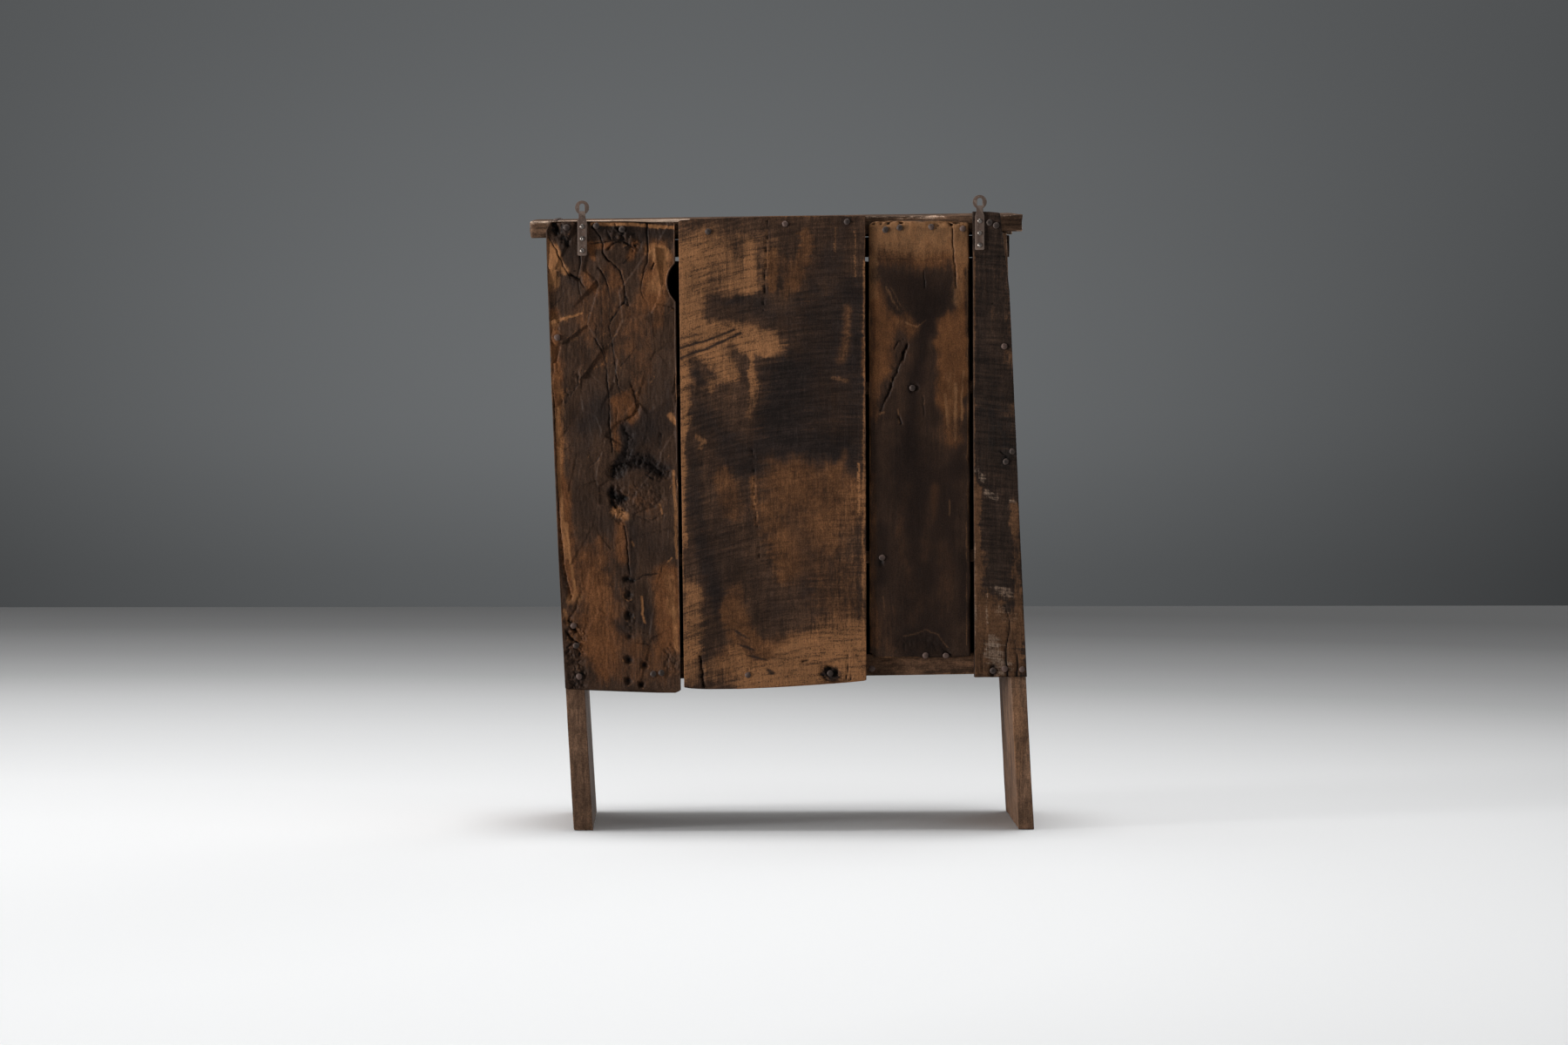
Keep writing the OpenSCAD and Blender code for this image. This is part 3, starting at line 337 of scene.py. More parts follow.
@dataclass
class WoodDresser:
    """Makes the material of one wood finish."""

    finish: WoodFinish

    def fibres(self, tree: ShaderTree, where: Link, squash: float, *look: float) -> Link:
        """Noise between 0 and 1, whose scale along the fibres is squash times the one across them."""
        scale = tuple(squash if axis == self.finish.grain.value else 1.0 for axis in range(3))
        return tree.noise(tree.stretched(where, scale), *look)

    def saw_marks(self, tree: ShaderTree, where: Link) -> Link:
        """Fine lines of the saw across the board, bowed as a blade leaves them.

        Args:
            tree: The material's tree.
            where: Object coordinates.

        Returns:
            A value between 0 and 1, low in each score.
        """
        finish = self.finish
        x, z, y = (tree.axis(where, name) for name in "XZY")
        if finish.grain is Grain.ALONG_X:
            x, z = z, x
        off = x - finish.saw_centre
        height = z + off * off / (2.0 * finish.saw_radius)
        lane = tree.node("ShaderNodeCombineXYZ", {}, {0: x * 0.09, 1: y * 0.09, 2: height})
        scores = PER_METRE / finish.saw_pitch
        coarse = tree.noise(lane, scores * 0.55, 2.0, 0.6)
        fine = tree.noise(lane, scores * 1.3, 2.0, 0.7)
        return coarse * 0.65 + fine * 0.35

    def build(self, name: str) -> Material:
        """Makes the material.

        Args:
            name: Name of the material.

        Returns:
            The material.
        """
        finish = self.finish
        tree = ShaderTree(name)
        where = tree.node("ShaderNodeTexCoord", output="Object")
        tone = tree.node("ShaderNodeAttribute", {"attribute_name": "tone"}, output="Color")
        masks = (tree.node("ShaderNodeSeparateColor", {}, {0: tone}, output) for output in range(3))
        stain_mask, wear_and_highlight_mask, warm_mask = masks
        dirt_and_shade_mask = tree.node("ShaderNodeAttribute", {"attribute_name": "tone"}, output="Alpha")

        swirl = tree.noise(where, 7.0, 2.0)
        drift = tree.node("ShaderNodeTexNoise", {}, {"Vector": where, "Scale": 6.0, "Detail": 2.0}, "Color")
        bent = tree.node("ShaderNodeVectorMath", {"operation": "MULTIPLY_ADD"},
                         {0: drift, 1: (0.05 * finish.swirl,) * 3, 2: where})
        fibre = self.fibres(tree, bent, 0.045, 850.0, 5.0, 0.66)
        grain = self.fibres(tree, bent, 0.06, 190.0, 4.0, 0.6, 0.4)
        band = self.fibres(tree, bent, 0.12, 42.0, 3.0, 0.55, 0.6)
        pore = self.fibres(tree, bent, 0.09, 1500.0, 2.0, 0.5).step(0.60, 0.72)
        blotch = tree.noise(where, 16.0, 6.0, 0.66)
        speck = tree.noise(where, 420.0, 3.0, 0.7)
        mottle = self.fibres(tree, bent, 0.5, 105.0, 5.0, 0.72)
        saw = self.saw_marks(tree, where) if finish.saw > 0 else grain

        rubbed = fibre * 0.22 + grain * 0.18 + blotch * 0.14 + mottle * 0.30 + speck * 0.16
        rubbed = rubbed * (1.0 - 0.34 * finish.saw) + saw * (0.34 * finish.saw)
        rubbed = (rubbed - 0.5) * 4.0 + 0.5
        soaked = ((blotch * 0.4 + mottle * 0.3 + grain * 0.2 + fibre * 0.1) - 0.5) * 3.8 + 0.5
        veined = ((grain + band) * 0.5 - 0.5) * finish.streaks + 0.5
        body = tree.mix(veined.step(0.32, 0.68), finish.dark, finish.mid)
        body = tree.mix(self.cover(warm_mask, soaked) * 0.92, body, finish.warm)
        lively = (mottle * 0.45 + blotch * 0.25 + speck * 0.3).step(0.42, 0.58)
        palest = tuple(1.14 * c for c in finish.light)
        # Colour of wear, which also paints the highlights on lit rims and edges
        wear_and_highlight = tree.mix(lively, palest, tree.mix(0.5, finish.light, finish.warm))
        body = tree.mix(self.cover(wear_and_highlight_mask, rubbed), body, wear_and_highlight)
        body = tree.mix(self.cover(stain_mask, soaked) * 0.94, body, finish.stain)
        shades = ((fibre * 0.6 + grain * 0.4, 0.3, 0.7, 0.36 * finish.streaks), (blotch, 0.3, 0.7, 0.27),
                  (mottle, 0.34, 0.66, 0.34 * finish.streaks), (speck, 0.36, 0.64, 0.24))
        for pattern, low, high, span in shades:
            shade = tree.mix(pattern.step(low, high), (1.0 - span,) * 3, (1.0 + span,) * 3)
            body = tree.mix(1.0, body, shade, "MULTIPLY")
        body = tree.mix(pore * 0.45, body, finish.stain)
        height = fibre * 0.45 + grain * 0.7 - pore * 0.35 + speck * 0.3 + swirl * 0.1 + mottle * 0.8
        if finish.saw > 0:
            pit = (saw * 0.5 + speck * 0.5).step(0.475, 0.41) * wear_and_highlight_mask.step(0.2, 0.7)
            body = tree.mix(pit * 0.55, body, finish.stain)
            # Painted highlight on the ridges between saw scores, in warm colour where the face is dark
            arc_highlight = saw.step(0.60, 0.68) * (1.0 - wear_and_highlight_mask) * speck.step(0.35, 0.6)
            body = tree.mix(arc_highlight * (0.35 * finish.saw), body, finish.warm)
            kept = 1.0 - wear_and_highlight_mask.math("MAXIMUM", warm_mask) * 0.75
            low, high = (1.0 - 0.55 * finish.saw,) * 3, (1.0 + 0.35 * finish.saw,) * 3
            body = tree.mix(kept, body, tree.mix(saw.step(0.36, 0.62), low, high), "MULTIPLY")
            height = height + saw * (1.3 * finish.saw)
        # Grime and painted shade in cracks, holes and hollows, darker than the stain
        body = tree.mix(dirt_and_shade_mask.step(0.1, 0.9), body, tuple(0.4 * c for c in finish.stain))
        rough = (fibre * 0.12 + speck * 0.16 + (finish.rough - 0.10)).math("MINIMUM", 0.95)
        normal = tree.bumped(height, 0.0012 * finish.bump, 0.8)
        return tree.finish(tree.surface(body, rough, normal, 0.0, finish.shine))

    def cover(self, mask: Link, texture: Link) -> Link:
        """A coat's cover from 0 to 1, broken up so that a half-strength mask covers half the surface."""
        soft = self.finish.soft
        return (texture + mask * (1.0 + 2.0 * soft) - (1.0 + soft)).step(-soft, soft)


@dataclass
class MetalDresser:
    """Makes the material of one metal finish."""

    finish: MetalFinish

    def build(self, name: str) -> Material:
        """Makes the material.

        Args:
            name: Name of the material.

        Returns:
            The material.
        """
        finish = self.finish
        tree = ShaderTree(name)
        where = tree.node("ShaderNodeTexCoord", output="Object")
        cloud = tree.noise(where, 70.0, 6.0, 0.68)
        grit = tree.noise(where, 900.0, 4.0, 0.7)
        dents = tree.node("ShaderNodeTexVoronoi", {"feature": "SMOOTH_F1"}, {"Vector": where, "Scale": 230.0})
        bare = 0.86 - finish.rust_share * 0.62
        rust = (cloud + (grit - 0.5) * 0.35).step(bare, bare + 0.2)
        colour = tree.mix(rust, finish.iron, finish.rust)
        colour = tree.mix(grit.step(0.35, 0.75) * 0.5, colour, tuple(0.45 * c for c in finish.rust))
        ridge = tree.node("ShaderNodeNewGeometry", output="Pointiness")
        colour = tree.mix(ridge.step(0.505, 0.56) * 0.6, colour, finish.bright)
        if finish.flecks > 0:
            fleck = tree.noise(where, 340.0, 3.0, 0.6).step(0.64, 0.70) * finish.flecks
            colour = tree.mix(fleck, colour, (0.42, 0.37, 0.32))
        if finish.blush > 0:
            pinkish = tree.noise(where, 9.0, 0.0).step(0.56, 0.60) * finish.blush
            colour = tree.mix(pinkish, colour, (0.21, 0.125, 0.10))
        height = dents * finish.hammer + grit * 0.3 + cloud * 0.5
        metallic = finish.shine - rust * (0.73 * finish.shine)
        rough = rust * 0.22 + grit * 0.2 + (finish.rough - 0.15)
        return tree.finish(tree.surface(colour, rough, tree.bumped(height, 0.0006, 0.7), metallic, 0.3))


# Numbers that end the materials' names, in the order of their first use
MATERIAL_NUMBERS = count()


@cache
def material_of(finish: WoodFinish | MetalFinish) -> Material:
    """Material of a finish, made at its first use."""
    dresser = WoodDresser(finish) if isinstance(finish, WoodFinish) else MetalDresser(finish)
    return dresser.build(f"{finish.slot}_{next(MATERIAL_NUMBERS)}")


# Noise and strokes on arrays of points


class Noise:
    """Smooth noise with a fixed seed, for arrays of points."""

    def __init__(self, seed: int) -> None:
        """Keeps the seed."""
        self.seed = seed * 7919 + 104729

    def cell(self, ix: Array, iy: Array, iz: Array) -> Array:
        """Random numbers at whole-number places.

        Args:
            ix: The places' first axis.
            iy: Their second axis.
            iz: Their third axis.

        Returns:
            One number from 0 to 1 for each place.
        """
        h = (ix * 73856093) ^ (iy * 19349663) ^ (iz * 83492791) ^ self.seed
        h &= 0xFFFFFFFF
        for _ in range(2):
            h = (((h >> 16) ^ h) * 0x45D9F3B) & 0xFFFFFFFF
        return ((h >> 16) ^ h) / 0xFFFFFFFF

    def value(self, points: Array) -> Array:
        """Smooth noise from 0 to 1.

        Args:
            points: An array of n places in three axes, one wave to a unit.

        Returns:
            One value for each place.
        """
        low = np.floor(points).astype(np.int64)
        part = points - low
        ease = part * part * (3.0 - 2.0 * part)
        total = np.zeros(len(points))
        for iz, iy, ix in CORNERS:
            total += corner_weight(ease, (ix, iy, iz)) * self.cell(*(low + (ix, iy, iz)).T)
        return total

    def cloud(self, points: Array, octaves: int = 4, gain: float = 0.5) -> Array:
        """Layered noise from about -1 to 1.

        Args:
            points: An array of n places, one wave of the coarsest layer to a unit.
            octaves: Number of layers.
            gain: Height of each layer against the last.

        Returns:
            One value for each place.
        """
        total = np.zeros(len(points))
        height, span, size = 1.0, 0.0, 1.0
        for octave in range(octaves):
            total += height * (2.0 * self.value(points * size + 31.7 * octave) - 1.0)
            span += height
            height *= gain
            size *= 2.03
        return total / span * 1.6

    def scallops(self, points: Array) -> tuple[Array, Array]:
        """Cells round scattered centres, as the cuts of an adze leave them.

        Args:
            points: An array of n places in two axes, one cell to a unit.

        Returns:
            Distance to the nearest centre, and a random slope in the cell.
        """
        low = np.floor(points).astype(np.int64)
        zero = np.zeros(len(points), dtype=np.int64)
        nearest = np.full(len(points), np.inf)
        slope = np.zeros(len(points))
        for step in product((-1, 0, 1), repeat=2):
            cx, cz = (low + step).T
            off_x = cx + self.cell(cx, cz, zero) - points[:, 0]
            off_z = cz + self.cell(cx, cz, zero + 5) - points[:, 1]
            far = np.hypot(off_x, off_z)
            turn = 2.0 * math.pi * self.cell(cx, cz, zero + 9)
            lean = off_x * np.cos(turn) + off_z * np.sin(turn)
            slope = np.where(far < nearest, lean, slope)
            nearest = np.minimum(far, nearest)
        return nearest, slope


def corner_weight(share: Array, corner: tuple[int, int, int]) -> Array:
    """Weight of one corner of a block at places given as shares of its three axes."""
    x, y, z = (share[:, axis] if bit else 1.0 - share[:, axis] for axis, bit in enumerate(corner))
    return x * y * z


def smooth(low: float, high: float, values: Array) -> Array:
    """Smooth step from 0 at low to 1 at high."""
    share = np.clip((values - low) / (high - low), 0.0, 1.0)
    return share * share * (3.0 - 2.0 * share)


@dataclass(frozen=True)
class Stroke:
    """A line on the rear plane, read off the photograph as columns and rows."""

    path: tuple[Place, ...]

    def reach(self, spots: Array) -> tuple[Array, Array]:
        """Distance to the line and the side that each spot lies on.

        Args:
            spots: An array of x and z in millimetres.

        Returns:
            Distances, and signed offsets that are positive on the photograph's right of the line,
            or below a level one.
        """
        line = Rear.mm(self.path)
        turn = -1.0 if self.path[-1][1] > self.path[0][1] else 1.0
        if len(line) == 1:
            far = np.hypot(spots[:, 0] - line[0, 0], spots[:, 1] - line[0, 1])
            return far, line[0, 1] - spots[:, 1]
        best = np.full(len(spots), 1e9)
        side = np.zeros(len(spots))
        for a, b in zip(line[:-1], line[1:]):
            way = b - a
            length = max(float(np.hypot(*way)), 1e-6)
            way = way / length
            off = spots - a
            along = np.clip(off @ way, 0.0, length)
            far = np.hypot(off[:, 0] - along * way[0], off[:, 1] - along * way[1])
            cross = off[:, 0] * way[1] - off[:, 1] * way[0]
            nearer = far < best
            best = np.where(nearer, far, best)
            side = np.where(nearer, -cross, side)
        return best, side * turn


@dataclass(frozen=True)
class Cut(Stroke):
    """A crack, gouge, hole or chipped flank; widths and depth in millimetres."""

    depth: float = 5.0
    left: float = 1.6
    right: float = 1.6
    # Grime in the cut's core, with painted shade
    dirt_and_shade: float = 0.85
    sharp: float = 1.0
    wander: float = 1.2
    # Wear with a painted highlight along the steep flank
    lip_wear_and_highlight: float = 0.42


@dataclass(frozen=True)
class Tint(Stroke):
    """A stained or worn place, as wide as its reach in millimetres."""

    tone: Tone
    strength: float
    wide: float
    soft: float = 0.8
    ragged: float = 4.0


@dataclass(frozen=True)
class Decay(Stroke):
    """A torn or rotten place, with lumps and with ridges that follow its line."""

    wide: float = 12.0
    depth: float = 2.0
    lumps: float = 2.0
    ridges: float = 0.0


def polyline(text: str) -> tuple[Place, ...]:
    """Path from its points, each written as column and row with a comma between them."""
    return tuple(tuple(float(value) for value in point.split(",")) for point in text.split())


def cuts(*rows: tuple) -> tuple[Cut, ...]:
    """Cuts from rows of depth, reach to the left and right, grime with painted shade, and path; one point is
    a steep hole.
    """
    made = (Cut(polyline(path), *measures) for *measures, path in rows)
    # A hole gets a strong rim: a painted highlight on its lower half
    return tuple(replace(cut, sharp=0.55, lip_wear_and_highlight=0.8) if len(cut.path) == 1 else cut for cut in made)


def decays(*rows: tuple) -> tuple[Decay, ...]:
    """Decayed places from rows of width, depth, lumps, perhaps ridges, and path."""
    return tuple(Decay(polyline(path), *measures) for *measures, path in rows)


def paint(tone: Tone, *rows: tuple, soft: float = 0.8) -> tuple[Tint, ...]:
    """Tints of one tone from rows of strength, reach in millimetres and path, ragged where wide."""
    return tuple(Tint(polyline(path), tone, strength, wide, soft, 1.0 + 0.32 * wide)
                 for strength, wide, path in rows)


# Shapes that a board's skin is laid on


@dataclass
class CornerShape:
    """A board between eight corners, which stand in the order of CORNERS."""

    corners: Array
    size: Array

    @classmethod
    def of_box(cls, node: str) -> "CornerShape":
        """Shape that fills the box of a node."""
        low, high = (np.array(end) * PER_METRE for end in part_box(node))
        return cls(np.where(CORNERS, high, low), high - low)

    @classmethod
    def of_corners(cls, node: str) -> "CornerShape":
        """Shape between the outermost corners of a node that leans or tapers.

        Args:
            node: Name of the CAD node.

        Returns:
            The shape.
        """
        points = node_points(node)
        ways = (2 * np.array(CORNERS) - 1) / (points.max(0) - points.min(0))
        corners = np.array([points[np.argmax(points @ way)] for way in ways])
        block = corners.reshape(2, 2, 2, 3)
        size = [np.linalg.norm(np.diff(block, axis=axis), axis=-1).mean() for axis in range(3)]
        return cls(corners, np.array(size))

    def place(self, points: Array) -> Array:
        """Moves points of the plain block onto the shape.

        Args:
            points: Places in the block, in millimetres.

        Returns:
            The same places on the cupboard, in millimetres.
        """
        share = points / self.size
        total = np.zeros((len(points), 3))
        for bits, corner in zip(CORNERS, self.corners):
            total += corner_weight(share, bits)[:, None] * corner
        return total


@dataclass
class OutlineShape:
    """An upright board cut to an outline in the x-z plane."""

    heights: Array
    sides: Array
    shares: Array
    ends: Array
    front: float
    lift: float
    size: Array

    # Heights and shares of the width where the outline is read, and how near to a face counts as on it
    LINES = 420
    COLUMNS = 160
    INSET = 0.05

    @classmethod
    def of_node(cls, node: str, outer: int = 0) -> "OutlineShape":
        """Reads the outline off a node's triangles.

        Args:
            node: Name of the CAD node.
            outer: Sign of the face whose line both faces follow, across housings; 0 for neither.

        Returns:
            The shape.
        """
        points = node_points(node)
        tips = points[[list(face.vertices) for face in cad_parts[node].data.polygons]]
        edges = np.concatenate([tips[:, [0, 1]], tips[:, [1, 2]], tips[:, [2, 0]]])
        y0, y1 = points[:, 1].min(), points[:, 1].max()
        rear = edges[(edges[:, :, 1] > y1 - cls.INSET).all(axis=1)]
        front = points[points[:, 1] < y0 + cls.INSET]
        lift = front[:, 2].max() - rear[:, :, 2].max()

        def crossings(at: float, axis: int) -> tuple[float, float]:
            """Where the rear outline meets a line.

            Args:
                at: Place of the line on its axis.
                axis: That axis, 0 for x and 2 for z.

            Returns:
                Lowest and highest value of the other axis.
            """
            other = 2 - axis
            a, b = rear[:, 0], rear[:, 1]
            hit = (a[:, axis] - at) * (b[:, axis] - at) <= 0
            hit &= np.abs(a[:, axis] - b[:, axis]) > 1e-6
            share = (at - a[hit, axis]) / (b[hit, axis] - a[hit, axis])
            values = a[hit, other] + share * (b[hit, other] - a[hit, other])
            return float(values.min()), float(values.max())

        z_low, z_high = rear[:, :, 2].min() + cls.INSET, rear[:, :, 2].max() - cls.INSET
        heights = np.linspace(z_low, z_high, cls.LINES)
        sides = np.array([crossings(z, 2) for z in heights])
        thick = np.median(sides[:, 1] - sides[:, 0])
        if outer > 0:
            sides[:, 0] = sides[:, 1] - thick
        elif outer < 0:
            sides[:, 1] = sides[:, 0] + thick
        shares = np.linspace(0.0, 1.0, cls.COLUMNS)
        ends = np.zeros((cls.COLUMNS, 2))
        x_low, x_high = rear[:, :, 0].min() + 2 * cls.INSET, rear[:, :, 0].max() - 2 * cls.INSET
        for (column, share), (end, start) in product(enumerate(shares), enumerate((z_low, z_high))):
            z = start
            for _ in range(4):
                left, right = (np.interp(z, heights, side) for side in sides.T)
                x = left * (1 - share) + right * share
                z = crossings(np.clip(x, x_low, x_high), 0)[end]
            ends[column, end] = z
        size = np.array([(sides[:, 1] - sides[:, 0]).mean(), y1 - y0, (ends[:, 1] - ends[:, 0]).mean()])
        return cls(heights, sides, shares, ends, y0, lift, size)

    def place(self, points: Array) -> Array:
        """Moves points of the plain block onto the shape.

        Args:
            points: Places in the block, in millimetres.

        Returns:
            The same places on the cupboard, in millimetres.
        """
        u, deep, v = (points / self.size).T
        low, high = (np.interp(u, self.shares, end) for end in self.ends.T)
        z = low + (high + self.lift * (1.0 - deep) - low) * v
        left, right = (np.interp(z, self.heights, side) for side in self.sides.T)
        return places_at(left + (right - left) * u, self.front + points[:, 1], z)


def put_tone(mesh: Mesh, tone: Array) -> None:
    """Keeps four masks for each vertex in the mesh's tone attribute."""
    masks = mesh.color_attributes.new("tone", "FLOAT_COLOR", "POINT")
    masks.data.foreach_set("color", np.clip(tone, 0.0, 1.0).astype(np.float32).ravel())


def node_points(node: str) -> Array:
    """Vertices of a CAD node in millimetres."""
    return np.array([vertex.co[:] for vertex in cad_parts[node].data.vertices]) * PER_METRE


class Skin:
    """Closed skin of a block, with lines closer together along its edges."""

    def __init__(self, size: Array, pitch: tuple[float, float, float], ease: float, plain: bool) -> None:
        """Lays the points and faces.

        Args:
            size: Length of the block along each axis, in millimetres.
            pitch: Distance of the lines along each axis.
            ease: Width of the band along the edges with closer lines.
            plain: Whether the face towards -y has few lines, where nothing is carved.
        """
        ticks = [self.lines(length, step, ease) for length, step in zip(size, pitch)]
        counts = [len(t) for t in ticks]
        keep = np.zeros(counts, dtype=bool)
        keep[[0, -1]] = True
        keep[:, -1] = True
        keep[:, :, [0, -1]] = True
        columns = list(range(counts[0]))
        if plain:
            few = np.linspace(4, counts[0] - 5, 9).round().astype(int).tolist()
            columns = sorted({*columns[:4], *few, *columns[-4:]})
        keep[columns, 0] = True
        index = np.full(counts, -1)
        index[keep] = np.arange(keep.sum())
        places = np.argwhere(keep)
        self.points = np.stack([ticks[a][places[:, a]] for a in range(3)], axis=1)
        self.faces: list[Array] = []
        self.odd: list[list[int]] = []
        self.sheet(index[:, -1], turned=True)
        self.sheet(index[-1], turned=False)
        self.sheet(index[0], turned=True)
        self.sheet(index[:, :, -1], turned=False)
        self.sheet(index[:, :, 0], turned=True)
        if plain:
            self.plain_sheet(index[:, 0], columns)
        else:
            self.sheet(index[:, 0], turned=False)

    @staticmethod
    def lines(length: float, step: float, ease: float) -> Array:
        """Places of the lines along one axis.

        Args:
            length: Length of the axis.
            step: Distance of the lines.
            ease: Width of the band at each end with closer lines.

        Returns:
            The places from 0 to length.
        """
        ease = min(ease, length / 3.0)
        near = np.array([0.0, 0.25, 0.55]) * ease
        count = max(1, round((length - 2 * ease) / step))
        middle = np.linspace(ease, length - ease, count + 1)
        return np.concatenate([near, middle, length - near[::-1]])

    def sheet(self, grid: Array, turned: bool) -> None:
        """Adds the four-sided faces of one side of the block.

        Args:
            grid: Point numbers in rows and columns.
            turned: Whether the faces run the other way round.
        """
        a, b, c, d = grid[:-1, :-1], grid[1:, :-1], grid[1:, 1:], grid[:-1, 1:]
        order = (a, d, c, b) if turned else (a, b, c, d)
        self.faces.append(np.stack([corner.ravel() for corner in order], axis=1))

    def plain_sheet(self, grid: Array, columns: list[int]) -> None:
        """Adds the side towards -y with long faces between few columns.

        Args:
            grid: Point numbers in rows and columns.
            columns: The columns that are kept between the two ends.
        """
        last = grid.shape[1] - 1
        for first, second in zip(columns[:-1], columns[1:]):
            for row in range(last):
                below = grid[first:second + 1, row] if row == 0 else grid[[first, second], row]
                above = grid[first:second + 1, row + 1] if row + 1 == last else grid[[first, second], row + 1]
                self.odd.append([*below.tolist(), *above[::-1].tolist()])

    def mesh(self, name: str, places: Array, tone: Array) -> Mesh:
        """Makes the mesh.

        Args:
            name: Name of the mesh.
            places: Where each point lies, in millimetres.
            tone: Four masks for each point.

        Returns:
            The mesh, smooth shaded, with the masks in its tone attribute.
        """
        quads = np.concatenate(self.faces)
        corners = np.concatenate([quads.ravel(), np.array([i for f in self.odd for i in f], dtype=int)])
        sizes = np.concatenate([np.full(len(quads), 4), np.array([len(f) for f in self.odd], dtype=int)])
        starts = np.concatenate([[0], np.cumsum(sizes)[:-1]])
        mesh = bpy.data.meshes.new(name)
        mesh.vertices.add(len(places))
        mesh.vertices.foreach_set("co", (places * MM).astype(np.float32).ravel())
        mesh.loops.add(len(corners))
        mesh.loops.foreach_set("vertex_index", corners.astype(np.int32))
        mesh.polygons.add(len(sizes))
        mesh.polygons.foreach_set("loop_start", starts.astype(np.int32))
        mesh.update(calc_edges=True)
        mesh.validate()
        mesh.shade_smooth()
        put_tone(mesh, tone)
        return mesh


# Pieces, and the nail and screw heads that the CAD nodes hold


def placed(name: str, data: ID) -> Object:
    """Puts data into the scene as an object.

    Args:
        name: Name of the object.
        data: Its mesh, lamp or camera.

    Returns:
        The object.
    """
    made = bpy.data.objects.new(name, data)
    bpy.context.scene.collection.objects.link(made)
    return made


def show(mesh: Mesh, finish: WoodFinish | MetalFinish, body: str, *nodes: str) -> Object:
    """Puts a mesh into the scene as the piece that stands for CAD nodes.

    Args:
        mesh: The piece's mesh, which gives its name.
        finish: Its finish, used where the mesh has no material yet.
        body: Name of the body that it rides.
        nodes: Names of the CAD nodes that it replaces.

    Returns:
        The piece.
    """
    piece = placed(mesh.name, mesh)
    if not mesh.materials:
        mesh.materials.append(material_of(finish))
    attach(piece, body)
    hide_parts(*nodes)
    return piece


@dataclass(frozen=True)
class Head:
    """Seat of one nail or screw head, in metres."""

    seat: Vector
    way: Vector
    radius: float
    height: float

    def distance(self, places: Array) -> Array:
        """Distance of places from the seat, both in millimetres."""
        return np.linalg.norm(places - np.array(self.seat) * PER_METRE, axis=1)


def heads_of(node: str) -> list[Head]:
    """Finds the head of each nail or screw in a CAD node.

    Args:
        node: Name of the CAD node.

    Returns:
        One head for each loose solid.
    """
    bm = bmesh.new()
    bm.from_mesh(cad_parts[node].data)
    bmesh.ops.remove_doubles(bm, verts=bm.verts, dist=1e-6)
    heads = []
    left = set(bm.verts)
    while left:
        queue = [left.pop()]
        island = []
        while queue:
            vertex = queue.pop()
            island.append(vertex)
            for edge in vertex.link_edges:
                other = edge.other_vert(vertex)
                if other in left:
                    left.remove(other)
                    queue.append(other)
        heads.append(head_from(np.array([v.co[:] for v in island])))
    bm.free()
    return sorted(heads, key=lambda h: tuple(h.seat))


def head_from(points: Array) -> Head:
    """Measures one nail.

    Args:
        points: Its vertices in metres.

    Returns:
        Its head.
    """
    middle = points.mean(0)
    way = np.linalg.svd(points - middle, full_matrices=False)[2][0]
    along = (points - middle) @ way
    off = np.linalg.norm(points - middle - along[:, None] * way, axis=1)
    if along[np.argmax(off)] < 0:
        way, along = -way, -along
    radius = float(off.max())
    rim = float(along[off > radius * 0.9].min())
    height = float(along.max() - rim)
    seat = middle + way * rim
    return Head(Vector(seat), Vector(way).normalized(), radius, height)


# Boards


@dataclass
class Surface:
    """Points of a skin: places in the plain block and on the cupboard, outward ways, and the block's size."""

    points: Array
    places: Array
    normals: Array
    size: Array


